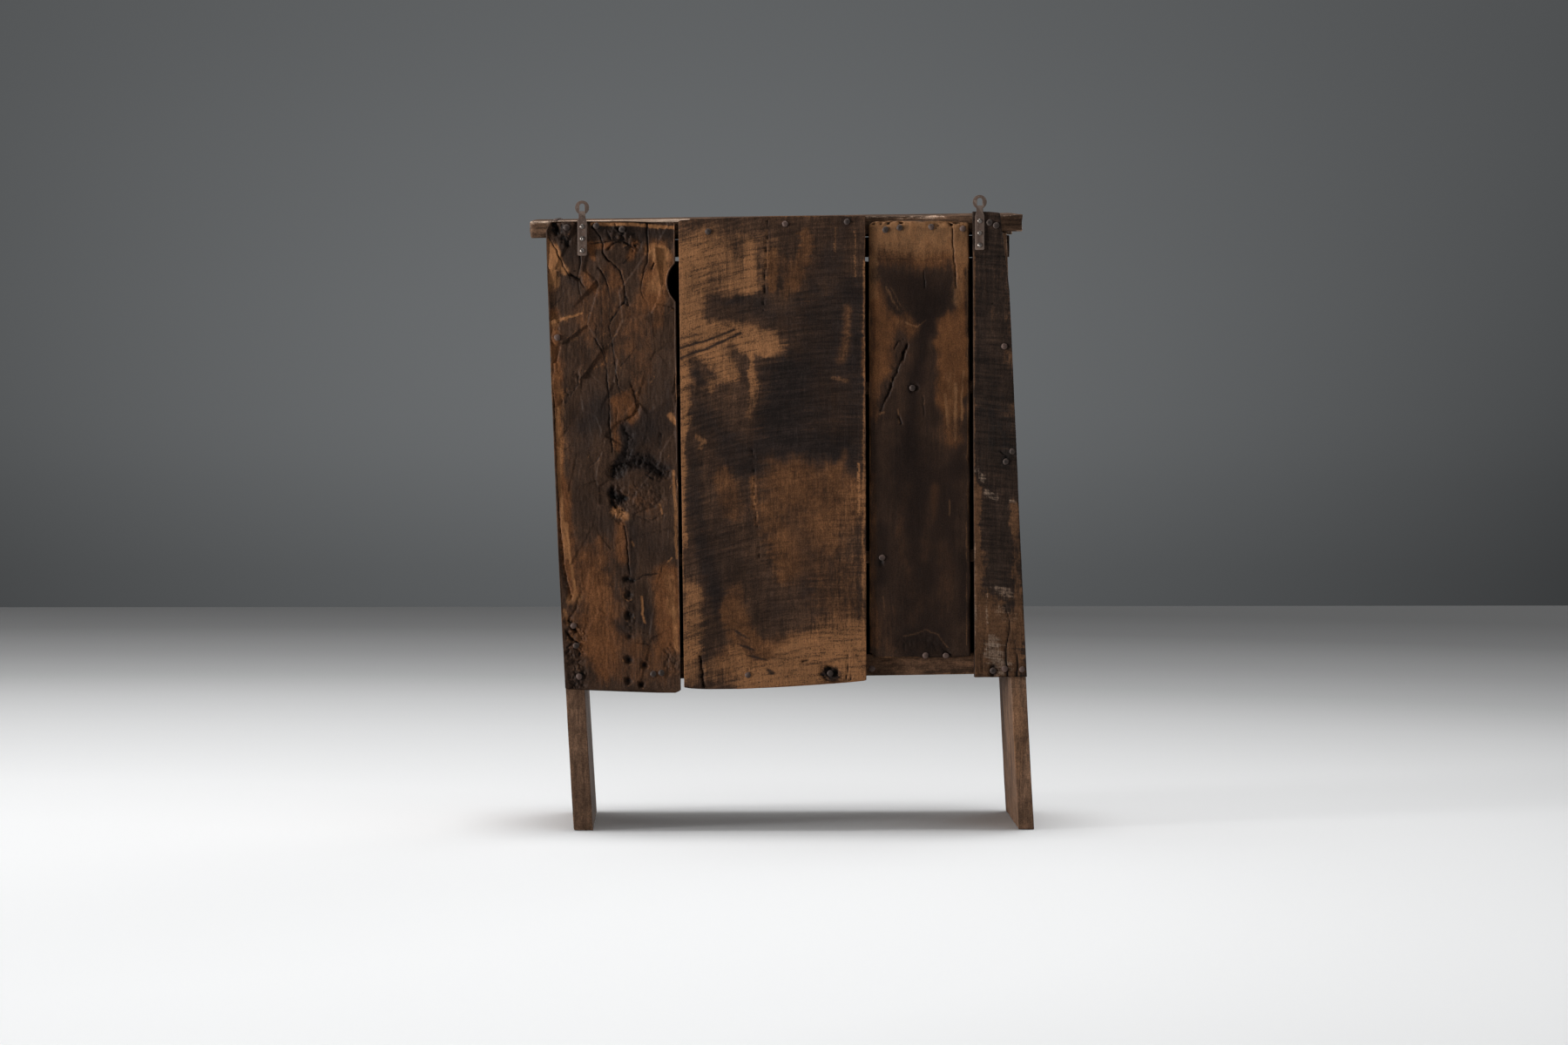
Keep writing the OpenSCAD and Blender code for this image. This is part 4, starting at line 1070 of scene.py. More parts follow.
@dataclass
class Board:
    """One board: a dense weathered skin over its CAD node. Sizes in millimetres."""

    node: str
    finish: WoodFinish
    body: str = "root"
    pitch: tuple[float, float, float] = (4.0, 4.0, 4.0)
    round_by: float = 1.8
    ragged: float = 0.6
    swell: float = 0.7
    rough_by: float = 0.35
    checks: int = 4
    check_depth: float = 3.0
    edge_wear: float = 0.55
    plain: bool = False
    outline: bool = False
    outer: int = 0
    boxed: bool = False
    seed: int = 1
    fixings: tuple[str, ...] = ()
    surface: Surface = field(init=False, repr=False)

    LEAST_ROUND = 0.35
    MOST_ROUND_SHARE = 0.42

    # Sizes of the patterns across and along the fibres, and of the broken end grain
    WAVE = (70.0, 320.0)
    FIBRE = (5.5, 90.0)
    WEAR = (30.0, 110.0)
    STAIN = (60.0, 190.0)
    WARMTH = (45.0, 260.0)
    END_GRAIN = 7.0

    def shape(self) -> CornerShape | OutlineShape:
        """Chooses the shape that the skin is laid on.

        Returns:
            The shape.
        """
        if self.outline:
            return OutlineShape.of_node(self.node, self.outer)
        return CornerShape.of_box(self.node) if self.boxed else CornerShape.of_corners(self.node)

    def stretch(self, places: Array, across: float, along: float) -> Array:
        """Divides places by a pattern's size across and along the fibres."""
        return places / np.where(np.arange(3) == self.finish.grain.value, along, across)

    def heads(self) -> list[Head]:
        """Heads of the nails that are driven through the board."""
        return [head for node in self.fixings for head in heads_of(node)]

    def face_relief(self) -> Array:
        """Depth of the carving on the faces, which a plain board has none of."""
        return np.zeros(len(self.surface.places))

    def end_checks(self) -> Array:
        """Depth of the drying cracks that run in from both ends.

        Returns:
            A depth for each place.
        """
        points, size, noise = self.surface.points, self.surface.size, Noise(self.seed)
        run = self.finish.grain.value
        wide = max((axis for axis in range(3) if axis != run), key=lambda axis: size[axis])
        depth = np.zeros(len(points))
        rng = np.random.default_rng(self.seed * 101 + 3)
        for _ in range(self.checks):
            at = rng.uniform(0.08, 0.92) * size[wide]
            reach = rng.uniform(0.04, 0.22) * size[run]
            from_end = points[:, run] if rng.random() < 0.5 else size[run] - points[:, run]
            drift = noise.cloud(places_at(points[:, run] / 45.0, at, 0.0), 3) * 4.0
            fade = np.clip(1.0 - from_end / reach, 0.0, 1.0)
            across = np.abs(points[:, wide] - at - drift) / (0.8 + 1.6 * fade)
            depth = np.maximum(depth, self.check_depth * np.sqrt(fade) * np.clip(1.0 - across, 0.0, 1.0))
        return depth

    def relief(self) -> tuple[Array, Array]:
        """Depth below the plain surface.

        Returns:
            Depths, and masks of the grime and painted shade in them.
        """
        noise = Noise(self.seed)
        places = self.surface.places
        end = np.abs(self.surface.normals[:, self.finish.grain.value])
        wave = (noise.cloud(self.stretch(places, *self.WAVE), 3) + 1.0) * 0.5 * self.swell
        fibre = (noise.cloud(self.stretch(places, *self.FIBRE), 3) + 1.0) * 0.5 * self.rough_by
        end_grain = (noise.cloud(places / self.END_GRAIN, 3) + 1.0) * 0.5 * self.ragged * 1.6
        checks = self.end_checks()
        depth = wave + fibre * (1 - end) + end_grain * end + checks
        # Drying cracks darken with grime and painted shade
        return np.maximum(depth, 0.0), np.clip(checks / max(self.check_depth, 0.1) * 1.4, 0.0, 1.0)

    def tone(self, dirt_and_shade: Array) -> Array:
        """Masks of stain, wear with painted highlights, warmth, and grime with painted shade.

        Args:
            dirt_and_shade: Mask of grime and painted shade in cracks.

        Returns:
            Four masks for each place, in the order of Tone.
        """
        noise = Noise(self.seed + 50)
        points, places = self.surface.points, self.surface.places
        tone = np.zeros((len(points), len(Tone)))
        stain, wear_and_highlight, warm, shade_and_soil = tone.T
        shade_and_soil[:] = dirt_and_shade
        from_face = np.sort(np.minimum(points, self.surface.size - points), axis=1)
        edge = np.exp(-from_face[:, 1] / 3.2)
        patchy = smooth(-0.25, 0.55, noise.cloud(self.stretch(places, *self.WEAR), 3))
        wear_and_highlight[:] = edge * self.edge_wear * (0.35 + 0.9 * patchy)
        stain[:] = 0.55 * smooth(0.25, 0.85, noise.cloud(self.stretch(places + 400.0, *self.STAIN), 4))
        warm[:] = 0.6 * smooth(0.1, 0.8, noise.cloud(self.stretch(places - 900.0, *self.WARMTH), 3))
        for head in self.heads():
            reach = head.radius * PER_METRE
            halo = 0.95 * (1.0 - smooth(reach, reach * 2.3, head.distance(places)))
            np.maximum(stain, halo, out=stain)
        return tone

    def build(self) -> Object:
        """Makes the piece, dresses it and puts it in the CAD node's place.

        Returns:
            The piece.
        """
        shape = self.shape()
        skin = Skin(shape.size, self.pitch, max(4.0, self.round_by * 1.6), self.plain)
        noise = Noise(self.seed + 9)
        raw = skin.points
        varied = self.round_by * (1.0 + 0.7 * noise.cloud(shape.place(raw) / 38.0, 3))
        radius = np.clip(varied, self.LEAST_ROUND, self.MOST_ROUND_SHARE * shape.size.min())[:, None]
        inner = np.clip(raw, radius, shape.size - radius)
        off = raw - inner
        normals = off / np.linalg.norm(off, axis=1)[:, None]
        eased = inner + normals * radius
        self.surface = Surface(eased, shape.place(eased), normals, shape.size)
        depth, dirt_and_shade = self.relief()
        sunk = shape.place(eased - normals * (depth + self.face_relief())[:, None])
        mesh = skin.mesh(f"skin_{self.node}", sunk, self.tone(dirt_and_shade))
        return show(mesh, self.finish, self.body, self.node)


class Face:
    """Rear face of a plank while it is carved."""

    def __init__(self, surface: Surface, noise: Noise) -> None:
        """Starts plain and clean.

        Args:
            surface: The plank's surface.
            noise: The noise of the face.
        """
        self.noise = noise
        self.outward = surface.normals[:, 1]
        self.flat = places_at(surface.places[:, 0], 0.0, surface.places[:, 2])
        self.spots = self.flat[:, [0, 2]]
        self.wobble = places_at(noise.cloud(self.flat / 7.0, 3), noise.cloud(self.flat / 7.0 + 77.0, 3))
        self.depth, self.dirt_and_shade, self.lips_wear_and_highlight = np.zeros((3, len(self.flat)))

    def carve(self, cut: Cut) -> None:
        """Takes one cut out of the face, with its grime and painted shade, and its broken rim of wear and
        painted highlight.

        Args:
            cut: The cut.
        """
        margin = max(cut.left, cut.right) + cut.wander + 3.0
        line = Rear.mm(cut.path)
        inside = (self.spots > line.min(0) - margin) & (self.spots < line.max(0) + margin)
        near = inside.all(axis=1) & (self.outward > 0.3)
        if not near.any():
            return
        flat, depth = self.flat[near], self.depth[near]
        far, side = cut.reach(self.spots[near] + self.wobble[near] * cut.wander)
        wide = np.where(side > 0, cut.right, cut.left)
        fall = np.clip(1.0 - far / wide, 0.0, 1.0) ** cut.sharp
        fine = 1.0 + 0.35 * self.noise.cloud(flat / 3.5, 2)
        self.depth[near] = np.maximum(depth, cut.depth * fall * fine + depth * (1.0 - fall))
        steep = min(cut.left, cut.right)
        # Grime and painted shade fill the cut's core, and the whole of a hole
        hole = cut.left if cut.left == cut.right else min(steep, 2.2)
        core = np.clip(1.0 - far / hole, 0.0, 1.0)
        self.dirt_and_shade[near] = np.maximum(self.dirt_and_shade[near], cut.dirt_and_shade * core ** 0.6)
        # The rim along the steep side is wear with a painted highlight; on a hole it is the lower rim
        steep_side = side < 0 if cut.left < cut.right else side > 0
        lip_wear_and_highlight = np.clip(1.0 - np.abs(far - steep - 1.2) / 2.2, 0.0, 1.0) * steep_side
        broken = smooth(-0.1, 0.5, self.noise.cloud(flat / 9.0, 2))
        self.lips_wear_and_highlight[near] = np.maximum(self.lips_wear_and_highlight[near], cut.lip_wear_and_highlight * lip_wear_and_highlight * broken)

    def rot(self, zone: Decay) -> None:
        """Lets one place decay, with its lumps and ridges, painted shade and grime in their hollows and
        painted highlights on their crests.

        Args:
            zone: The decayed place.
        """
        far, _ = zone.reach(self.spots + self.wobble * 4.0)
        mask = 1.0 - smooth(0.5, 1.15, far / zone.wide)
        lumps = 1.5 * self.noise.cloud(self.flat / 6.5 + 40.0, 4, 0.72)
        ripple = np.sin(far * 2.0 * math.pi / 4.2 + 2.0 * self.noise.cloud(self.flat / 15.0, 2))
        self.depth += mask * (zone.depth + zone.lumps * lumps + zone.ridges * ripple)
        # Hollows of the lumps and ridges darken with grime and painted shade
        hollow = np.maximum(smooth(0.2, 0.8, lumps) * min(zone.lumps, 2.0) / 2.0,
                            smooth(0.3, 0.9, ripple) * min(zone.ridges, 1.0))
        self.dirt_and_shade = np.maximum(self.dirt_and_shade, mask * hollow * 0.8)
        # Crests of the lumps get a painted highlight
        self.lips_wear_and_highlight = np.maximum(self.lips_wear_and_highlight, mask * smooth(0.4, 1.0, -lumps) * 0.2 * min(zone.lumps, 2.0))


@dataclass
class BackPlank(Board):
    """A plank of the back, with the cuts and tints that the photograph shows."""

    cuts: tuple[Cut, ...] = ()
    tints: tuple[Tint, ...] = ()
    decay: tuple[Decay, ...] = ()
    hewn: float = 0.0
    hewn_above: float = 0.0
    chips: int = 0
    sawn: float = 0.0
    plain: bool = True
    outline: bool = True
    face: Face = field(init=False, repr=False)

    ADZE_LEAN = (0.94, 0.34)
    ADZE_CUT = (46.0, 78.0)

    def adze_marks(self) -> list[Cut]:
        """Scatters the shallow one-sided marks that an adze leaves.

        Returns:
            The marks, as cuts.
        """
        rng = np.random.default_rng(self.seed)
        low, high = (np.array(end) * PER_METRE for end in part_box(self.node))
        marks = []
        for _ in range(self.chips):
            x, z = rng.uniform(low[0], high[0]), rng.uniform(low[2], high[2])
            column = Rear.CENTRE_COLUMN - x / Rear.MM_PER_PIXEL
            row = Rear.FLOOR_ROW - z / Rear.MM_PER_PIXEL
            long, lean = rng.uniform(5.0, 15.0), math.radians(rng.uniform(30.0, 75.0))
            off = (0.5 * long * math.cos(lean), 0.5 * long * math.sin(lean))
            path = ((column + off[0], row - off[1]), (column - off[0], row + off[1]))
            flank, steep = rng.uniform(7.0, 18.0), rng.uniform(1.3, 1.9)
            left, right = (flank, steep) if rng.random() < 0.6 else (steep, flank)
            if z > self.hewn_above:
                marks.append(Cut(path, rng.uniform(1.0, 2.4), left, right, 0.35, lip_wear_and_highlight=0.55))
        return marks

    def saw_lane(self, flat: Array, wide: float, pitch: float) -> Array:
        """Places for noise that follows the saw's bowed path.

        Args:
            flat: Places on the rear plane, with y at 0.
            wide: Length of one mark across the board.
            pitch: Height of one mark.

        Returns:
            The places, one mark to a unit.
        """
        x, _, z = flat.T
        off = x - self.finish.saw_centre * PER_METRE
        height = z + off * off / (2.0 * PER_METRE * self.finish.saw_radius)
        return places_at(x / wide, 0.0, height / pitch)

    def tool_marks(self) -> Array:
        """Depth of the marks of the adze or of the saw.

        Returns:
            A depth for each place.
        """
        flat, noise = self.face.flat, self.face.noise
        depth = np.zeros(len(flat))
        x, _, z = flat.T
        if self.hewn > 0:
            (along, aside), (wide, long) = self.ADZE_LEAN, self.ADZE_CUT
            slanted = places_at((x * along + z * aside) / wide, (z * along - x * aside) / long)
            centre, slope = noise.scallops(slanted)
            dish = (1.0 - np.clip(centre, 0.0, 1.0) ** 2) * 0.4 + (slope + 0.6) * 1.5
            hewn = self.hewn * (0.25 + 0.75 * smooth(-70.0, 70.0, z - self.hewn_above))
            depth += hewn * np.clip(dish, 0.0, 2.0)
            depth += self.hewn * 0.26 * np.maximum(noise.cloud(flat / np.array([9.0, 1.0, 26.0]), 3), 0.0)
            depth += self.hewn * 0.10 * (noise.cloud(flat / np.array([2.6, 1.0, 9.0]), 2) + 1.0)
            for head in self.heads():
                depth *= 0.2 + 0.8 * smooth(6.0, 16.0, head.distance(self.surface.places))
        if self.sawn > 0:
            depth += self.sawn * (noise.cloud(self.saw_lane(flat, 55.0, 3.1), 2, 0.7) + 1.0)
        return depth

    def face_relief(self) -> Array:
        """Depth of the cuts and of the tool marks on the rear face.

        Returns:
            A depth for each place.
        """
        self.face = Face(self.surface, Noise(self.seed + 20))
        self.face.depth += self.tool_marks()
        for cut in (*self.adze_marks(), *self.cuts):
            self.face.carve(cut)
        for zone in self.decay:
            self.face.rot(zone)
        return np.maximum(self.face.depth, 0.0) * np.clip(self.face.outward, 0.0, 1.0)

    def ragging(self) -> Array:
        """Offsets that break up the edges of the tints along the tool marks or the fibres.

        Returns:
            Offsets in x and z from about -1 to 1.
        """
        flat, noise = self.face.flat, Noise(self.seed + 70)
        ragged = places_at(noise.cloud(flat / 24.0, 5, 0.62), noise.cloud(flat / 24.0 + 55.0, 5, 0.62))
        if self.sawn > 0:
            ragged[:, 0] += 0.8 * noise.cloud(self.saw_lane(flat, 38.0, 2.8), 2, 0.8)
            ragged[:, 1] += 0.35 * noise.cloud(flat / np.array([2.8, 1.0, 40.0]), 2)
        else:
            ragged[:, 1] += 0.35 * noise.cloud(flat / np.array([3.2, 1.0, 60.0]), 2, 0.7)
        return ragged

    def tone(self, dirt_and_shade: Array) -> Array:
        """Masks of the plank, with the photograph's stains, wear, painted highlights and painted shadows on
        its rear face.

        Args:
            dirt_and_shade: Mask of grime and painted shade in cracks.

        Returns:
            Four masks for each place, in the order of Tone.
        """
        tone = super().tone(dirt_and_shade)
        face, ragged = self.face, self.ragging()
        rear = smooth(0.2, 0.7, face.outward)
        stain, wear_and_highlight, warm, shade_and_soil = tone.T
        stain *= 1.0 - 0.6 * rear
        warm *= 1.0 - 0.5 * rear
        for tint in self.tints:
            far, _ = tint.reach(face.spots + ragged * tint.ragged)
            mask = tint.strength * (1.0 - smooth(1.0 - tint.soft, 1.0 + tint.soft, far / tint.wide)) * rear
            tinted = tone[:, tint.tone.value]
            tinted[:] = 1.0 - (1.0 - tinted) * (1.0 - mask)
            if tint.tone is Tone.STAIN:
                wear_and_highlight *= 1.0 - 0.85 * mask
                warm *= 1.0 - 0.5 * mask
            else:
                stain *= 1.0 - 0.8 * mask
        # Rims of the cuts and crests of the decay: wear with painted highlights
        np.maximum(wear_and_highlight, face.lips_wear_and_highlight * rear, out=wear_and_highlight)
        # Grime and painted shade of the cuts and of the decay
        np.maximum(shade_and_soil, face.dirt_and_shade * rear, out=shade_and_soil)
        return tone


@dataclass
class TopBoard(Board):
    """A board of the top, whose rear edge is light-coloured in places: wear with a painted highlight."""

    pale_wear_and_highlight: tuple[tuple[float, float, float], ...] = ()

    def tone(self, dirt_and_shade: Array) -> Array:
        """Masks of the board, with the light-coloured stretches of its rear edge: wear with a painted
        highlight.

        Args:
            dirt_and_shade: Mask of grime and painted shade in cracks.

        Returns:
            Four masks for each place, in the order of Tone.
        """
        tone = super().tone(dirt_and_shade)
        stain, wear_and_highlight = tone.T[:2]
        noise, places = Noise(self.seed + 33), self.surface.places
        _, inward, down = (self.surface.size - self.surface.points).T
        from_edge = np.hypot(inward, down) + 2.5 * noise.cloud(places / np.array([16.0, 6.0, 6.0]), 3)
        column = Rear.CENTRE_COLUMN - places[:, 0] / Rear.MM_PER_PIXEL
        # Each stretch lightens the rear edge: wear with a painted highlight
        for first, last, strength in self.pale_wear_and_highlight:
            along = smooth(first - 3.0, first + 3.0, column) * (1.0 - smooth(last - 3.0, last + 3.0, column))
            mask = strength * along * (1.0 - smooth(4.0, 10.0, from_edge))
            np.maximum(wear_and_highlight, mask, out=wear_and_highlight)
            stain *= 1.0 - mask
        return tone


# What the photograph shows on each plank of the back: cuts as depth, reach to the left and to the right
# and grime with painted shade, decay as width, depth, lumps and ridges, tints as strength and reach

HEWN_CUTS = cuts(
    (7, 1.9, 1.7, 0.9, "680.8,261.7 689.3,272 693,281.4 692.1,290.8 697.8,298.4 707.2,305.9 712.8,313.4 "
                       "716.6,324.7 718,337.8 717.5,347.3 709,356.7 699.6,373.6"),
    (6, 1.8, 1.5, 0.85, "699.6,373.6 700.6,381.1 703.4,394.3 705.3,413.1 709,437.5 711.9,452.6"),
    (5, 1.7, 1.5, 0.8, "687.4,307.8 695.9,320.9 699.6,336 700.6,352.9 699.6,368"),
    (6, 1.8, 1.6, 0.85, "683.6,388.6 691.2,401.8 695.9,418.7 697.8,437.5 699.6,458.2 699.6,484.5 "
                        "703.4,518.4"),
    (4, 1.4, 1.4, 0.7, "685.5,365 685,378 686,395"),
    (3.5, 1.4, 1.4, 0.7, "692,350 691.5,372 692.5,392 696,415"),
    (4, 1.4, 1.4, 0.6, "711.9,452.6 709,467.6 708.1,488.3 707.2,518.4"),
    (3, 1.3, 1.3, 0.6, "666,362 667,385"),
    (5, 1.7, 1.7, 0.8, "626.3,268.3 632,275 639.4,287 644,299 649.8,309.6 656,320"),
    (10, 4.5, 5, 1, "656,315 662,319 666,321"), (4, 1.6, 1.6, 0.8, "666,321 671.4,330.3"),
    (11, 6, 6, 1, "636,256 640,262 641,268"), (8, 4, 4, 0.9, "650,277 652,283"),
    (6, 2, 2, 0.8, "683,258 680,262"), (6, 1.8, 2, 0.8, "677,281 694,279 713,275 718,276"),
    (6, 2, 4, 0.8, "698,287 705,280 714,277"), (7, 3, 5, 0.9, "708,262 716,268 712,276 722,281"),
    (5, 2, 4, 0.8, "717,286 722,281 728,286"), (4.5, 2, 2, 0.8, "716,303 723,296"),
    (6, 2, 2.5, 0.9, "748.5,309 751,303"), (4, 1.8, 1.8, 0.7, "736,314 743,310"),
    (4, 6, 1.5, 0.8, "719,343 711,354 701,369"), (6, 2, 4, 0.8, "717,349 722,352 719,341"),
    (5, 2.5, 9, 0.25, "771,306 767,323 768,338 773,354"), (4, 2, 3, 0.7, "768,318 770,334"),
    (3.5, 2.5, 4, 0.6, "743,377 742,385"), (3.2, 7, 1.6, 0.75, "650.7,333.1 644,343 635.7,352"),
    (2.5, 6, 1.6, 0.5, "644,358 639,364"), (2.4, 9, 1.6, 0.5, "654,417 643,432"),
    (6, 14, 2, 0.7, "664.8,431.9 664,440 658,450 649.8,462"),
    (3.5, 12, 1.6, 0.8, "731.6,398 722,410 712.8,420.6"), (2.6, 10, 1.5, 0.5, "764,396 755,404"),
    (3.5, 7, 1.6, 0.8, "690,522 684,530 676,536"), (3, 5, 1.6, 0.7, "657,508 650,516"),
    (6, 1.6, 9, 0.7, "724,441.3 729.7,458.2 731.6,467.6 727,477 713.7,482.7"),
    (7, 7, 12, 0.75, "716,492 722,500 718,520"), (6, 5, 5, 0.6, "759,498 757,512"),
    (9, 5, 9, 0.8, "704,547 705,535 720,531 738,530 752,535 760,546"),
    (10, 8, 8, 1, "703,566 709,571 718,572"), (9, 3, 8, 1, "702,560 703,575 707,583"),
    (5, 3, 3, 0.8, "742,545 750,549"), (3, 2, 3.5, 0.5, "728,590 745,598 762,590"),
    (4.5, 1.8, 1.8, 0.8, "716.8,602.8 719.8,618.6 720.8,638.4 722.8,658.2"),
    (7, 7, 7, 0.9, "718,664 726,665"), (3, 1.8, 3, 0.8, "726,668 738,660 755,657"),
    (6, 8, 8, 0.8, "722,682"), (7, 9.5, 9.5, 0.85, "722,706"), (5, 6.5, 6.5, 0.75, "722,730"),
    (3, 2, 4, 0.6, "732,738 745,739"), (8, 8.5, 8.5, 0.9, "721.5,756"), (8, 7.5, 7.5, 0.95, "739.6,763"),
    (8, 8, 8, 0.9, "721,780.5"), (8, 6.5, 6.5, 0.95, "735.6,784.7"), (2, 1.5, 1.5, 0.7, "708,766"),
    (4, 1.5, 9, 0.5, "665,682 660,698 652,712"), (8, 7, 9, 0.95, "652,712 657,716 660,722"),
    (5, 2.5, 3, 0.9, "650,724 655,732 662,737 661,744"), (4, 2.5, 2.5, 0.8, "651,742 656,738"),
    (1.8, 3, 3.5, 0.2, "676,738 684,733 697,735"), (1.8, 3, 3.5, 0.2, "675,746 685,741 700,745"),
    (1.8, 3, 3.5, 0.2, "676,754 686,750 697,753"), (2.4, 2.5, 6, 0.3, "676,708 672,722 668,733"),
    (2, 2, 4, 0.3, "760,745 768,752 762,766"), (2, 2, 4, 0.3, "770,738 777,752 772,768"),
    (6, 9, 1.5, 0, "636,455 639,540 644,610 650,660 657,684"),
)
HEWN_DECAY = decays(
    (17, 3, 1.2, 0.9, "706,541 720,528 742,528 760,541"), (30, 0.6, 1.3, 0.3, "722,570 748,572"),
    (14, 2, 2.5, "706,566 712,592"), (17, 1, 2.6, "705,268 718,274 728,282"),
    (13, 1, 2.4, "638,262 650,276"), (17, 2.6, 3, "662,728 660,755 664,784"),
    (9, 0.4, 1.4, "722,664 722,706 722,730"), (14, 0.6, 1, 0.5, "767,745 772,765"),
)
HEWN_TINTS = (
    *paint(
        Tone.STAIN, (0.55, 30, "642,272 664,292"), (0.65, 18, "690,262 735,270 766,268"),
        (0.5, 24, "722,300 738,296"), (0.5, 12, "656,322 668,330"), (0.08, 30, "672,345 680,420 676,500"),
        (0.25, 22, "742,395 745,455"), (0.35, 30, "760,425 764,480 756,530"),
        # The first stain on the next line is a painted shadow below the torn flap
        (0.8, 13, "716,492 722,510 714,535"), (0.75, 13, "707,542 720,528 742,528 760,540"),
        (0.8, 10, "703,562 712,574"), (0.45, 32, "662,565 690,600 700,640"), (0.5, 40, "740,612 762,640"),
        (0.85, 9, "708,714 714,722"), (0.7, 22, "745,702 757,716 763,728"),
        (0.2, 16, "655,785 700,786 770,786"), (0.62, 34, "685,468 712,482 735,490"),
        (0.45, 20, "672,490 674,515"), (0.5, 10, "722,650 722,706 722,757 721,785"),
        (0.4, 20, "662,745 662,780"), soft=1.0
    ),
    *paint(
        Tone.WARM, (0.8, 8, "677,283 700,281"), (0.8, 6, "679,288 681,297"), (0.9, 7, "729,280 723,297"),
        (0.9, 24, "755,293 757,312 750,335"), (0.5, 12, "756,345 757,372"), (0.6, 11, "672,316 678,330"),
        (0.4, 16, "700,308 708,322"), (0.75, 12, "634,362 636,410 640,455"),
        (0.4, 26, "732,360 738,420 735,450"), (0.3, 22, "700,330 710,400"),
        (1, 6, "639,455 641,500 643,540 647,600 652,650 660,683"), (0.6, 12, "648,560 652,620"),
        (0.7, 46, "678,650 682,690 692,735"), (0.35, 26, "668,350 672,410"),
        (0.9, 24, "765,662 768,690 772,735"), (0.5, 22, "690,760 680,740"), (0.7, 18, "718,462 724,474"),
        (0.6, 9, "706,462 708,515"), (0.4, 20, "700,774 768,775"), (0.32, 40, "722,562 750,580"),
        (0.6, 10, "712,604 716,640"), (0.5, 20, "735,745 750,752"), soft=1.0
    ),
    *paint(
        Tone.WEAR_AND_HIGHLIGHT, (0.75, 13, "628,282 634,300 636,322"), (0.8, 6, "638,288 650,312"),
        (0.35, 9, "645,450 647,540"), (0.25, 8, "633,335 639,440"), (0.3, 14, "636,372 650,366"),
        (0.7, 2.2, "634,371 650,366 668,360"), (0.4, 4, "656,391 663,389"),
        (0.55, 17, "755,296 760,312 752,330"), (0.6, 12, "748,288 764,292"),
        # The first wear on the next line, along the top edge, is also a painted highlight on the lit arris
        (0.9, 2.8, "680,258 728,259 774,262"), (0.62, 4, "640,470 643,560 650,640"),
        (0.75, 2.6, "651,600 655,645 661,683"), (0.6, 9, "655,688 660,686"), (0.28, 40, "690,665 686,690"),
        (0.45, 12, "768,665 771,700"), (0.55, 5, "774,700 777,745"), (0.6, 3, "772,540 775,580 777,640"),
        (0.75, 6, "770,478 775,484"), (0.75, 10, "708,588 716,592"), (0.5, 2.5, "757,578 760,590"),
        (0.8, 2.4, "737,685 737,704"), (0.7, 2.4, "738,706 741,714"), (0.5, 2.2, "725,622 728,626"),
        (0.6, 2.2, "766,645 771,640"), (0.35, 10, "655,735 668,730"), (0.5, 4, "648,700 652,715"),
    ),
)

SAWN_CUTS = cuts(
    (4, 1.4, 1.4, 0.8, "880.5,249 880,268 878.5,300 877,330 876.5,358"),
    (3, 1.3, 1.3, 0.6, "863.5,515 865,545 866,578 870,610 871,640"),
    (11, 1.8, 1.8, 1, "804,752 805.5,768 806.5,778 808.5,792"), (6, 9, 9, 0.8, "950,768 958,772"),
    (5, 3, 3, 0.9, "948,780 956,784"), (1.2, 1.3, 1.3, 0.5, "952,262 953,276"),
    (2, 1.6, 1.6, 0.6, "857,766 860,772"), (3, 2.5, 2.5, 0.8, "921,759 927,757"),
    (0.9, 1.4, 1.4, 0.2, "780.5,408 800,402 820,393 850,377"),
)
SAWN_DECAY = decays(
    (15, 0.6, 2.2, 0.8, "948,771 958,775"), (9, 0.2, 1, 0.4, "846,715 866,748"),
)
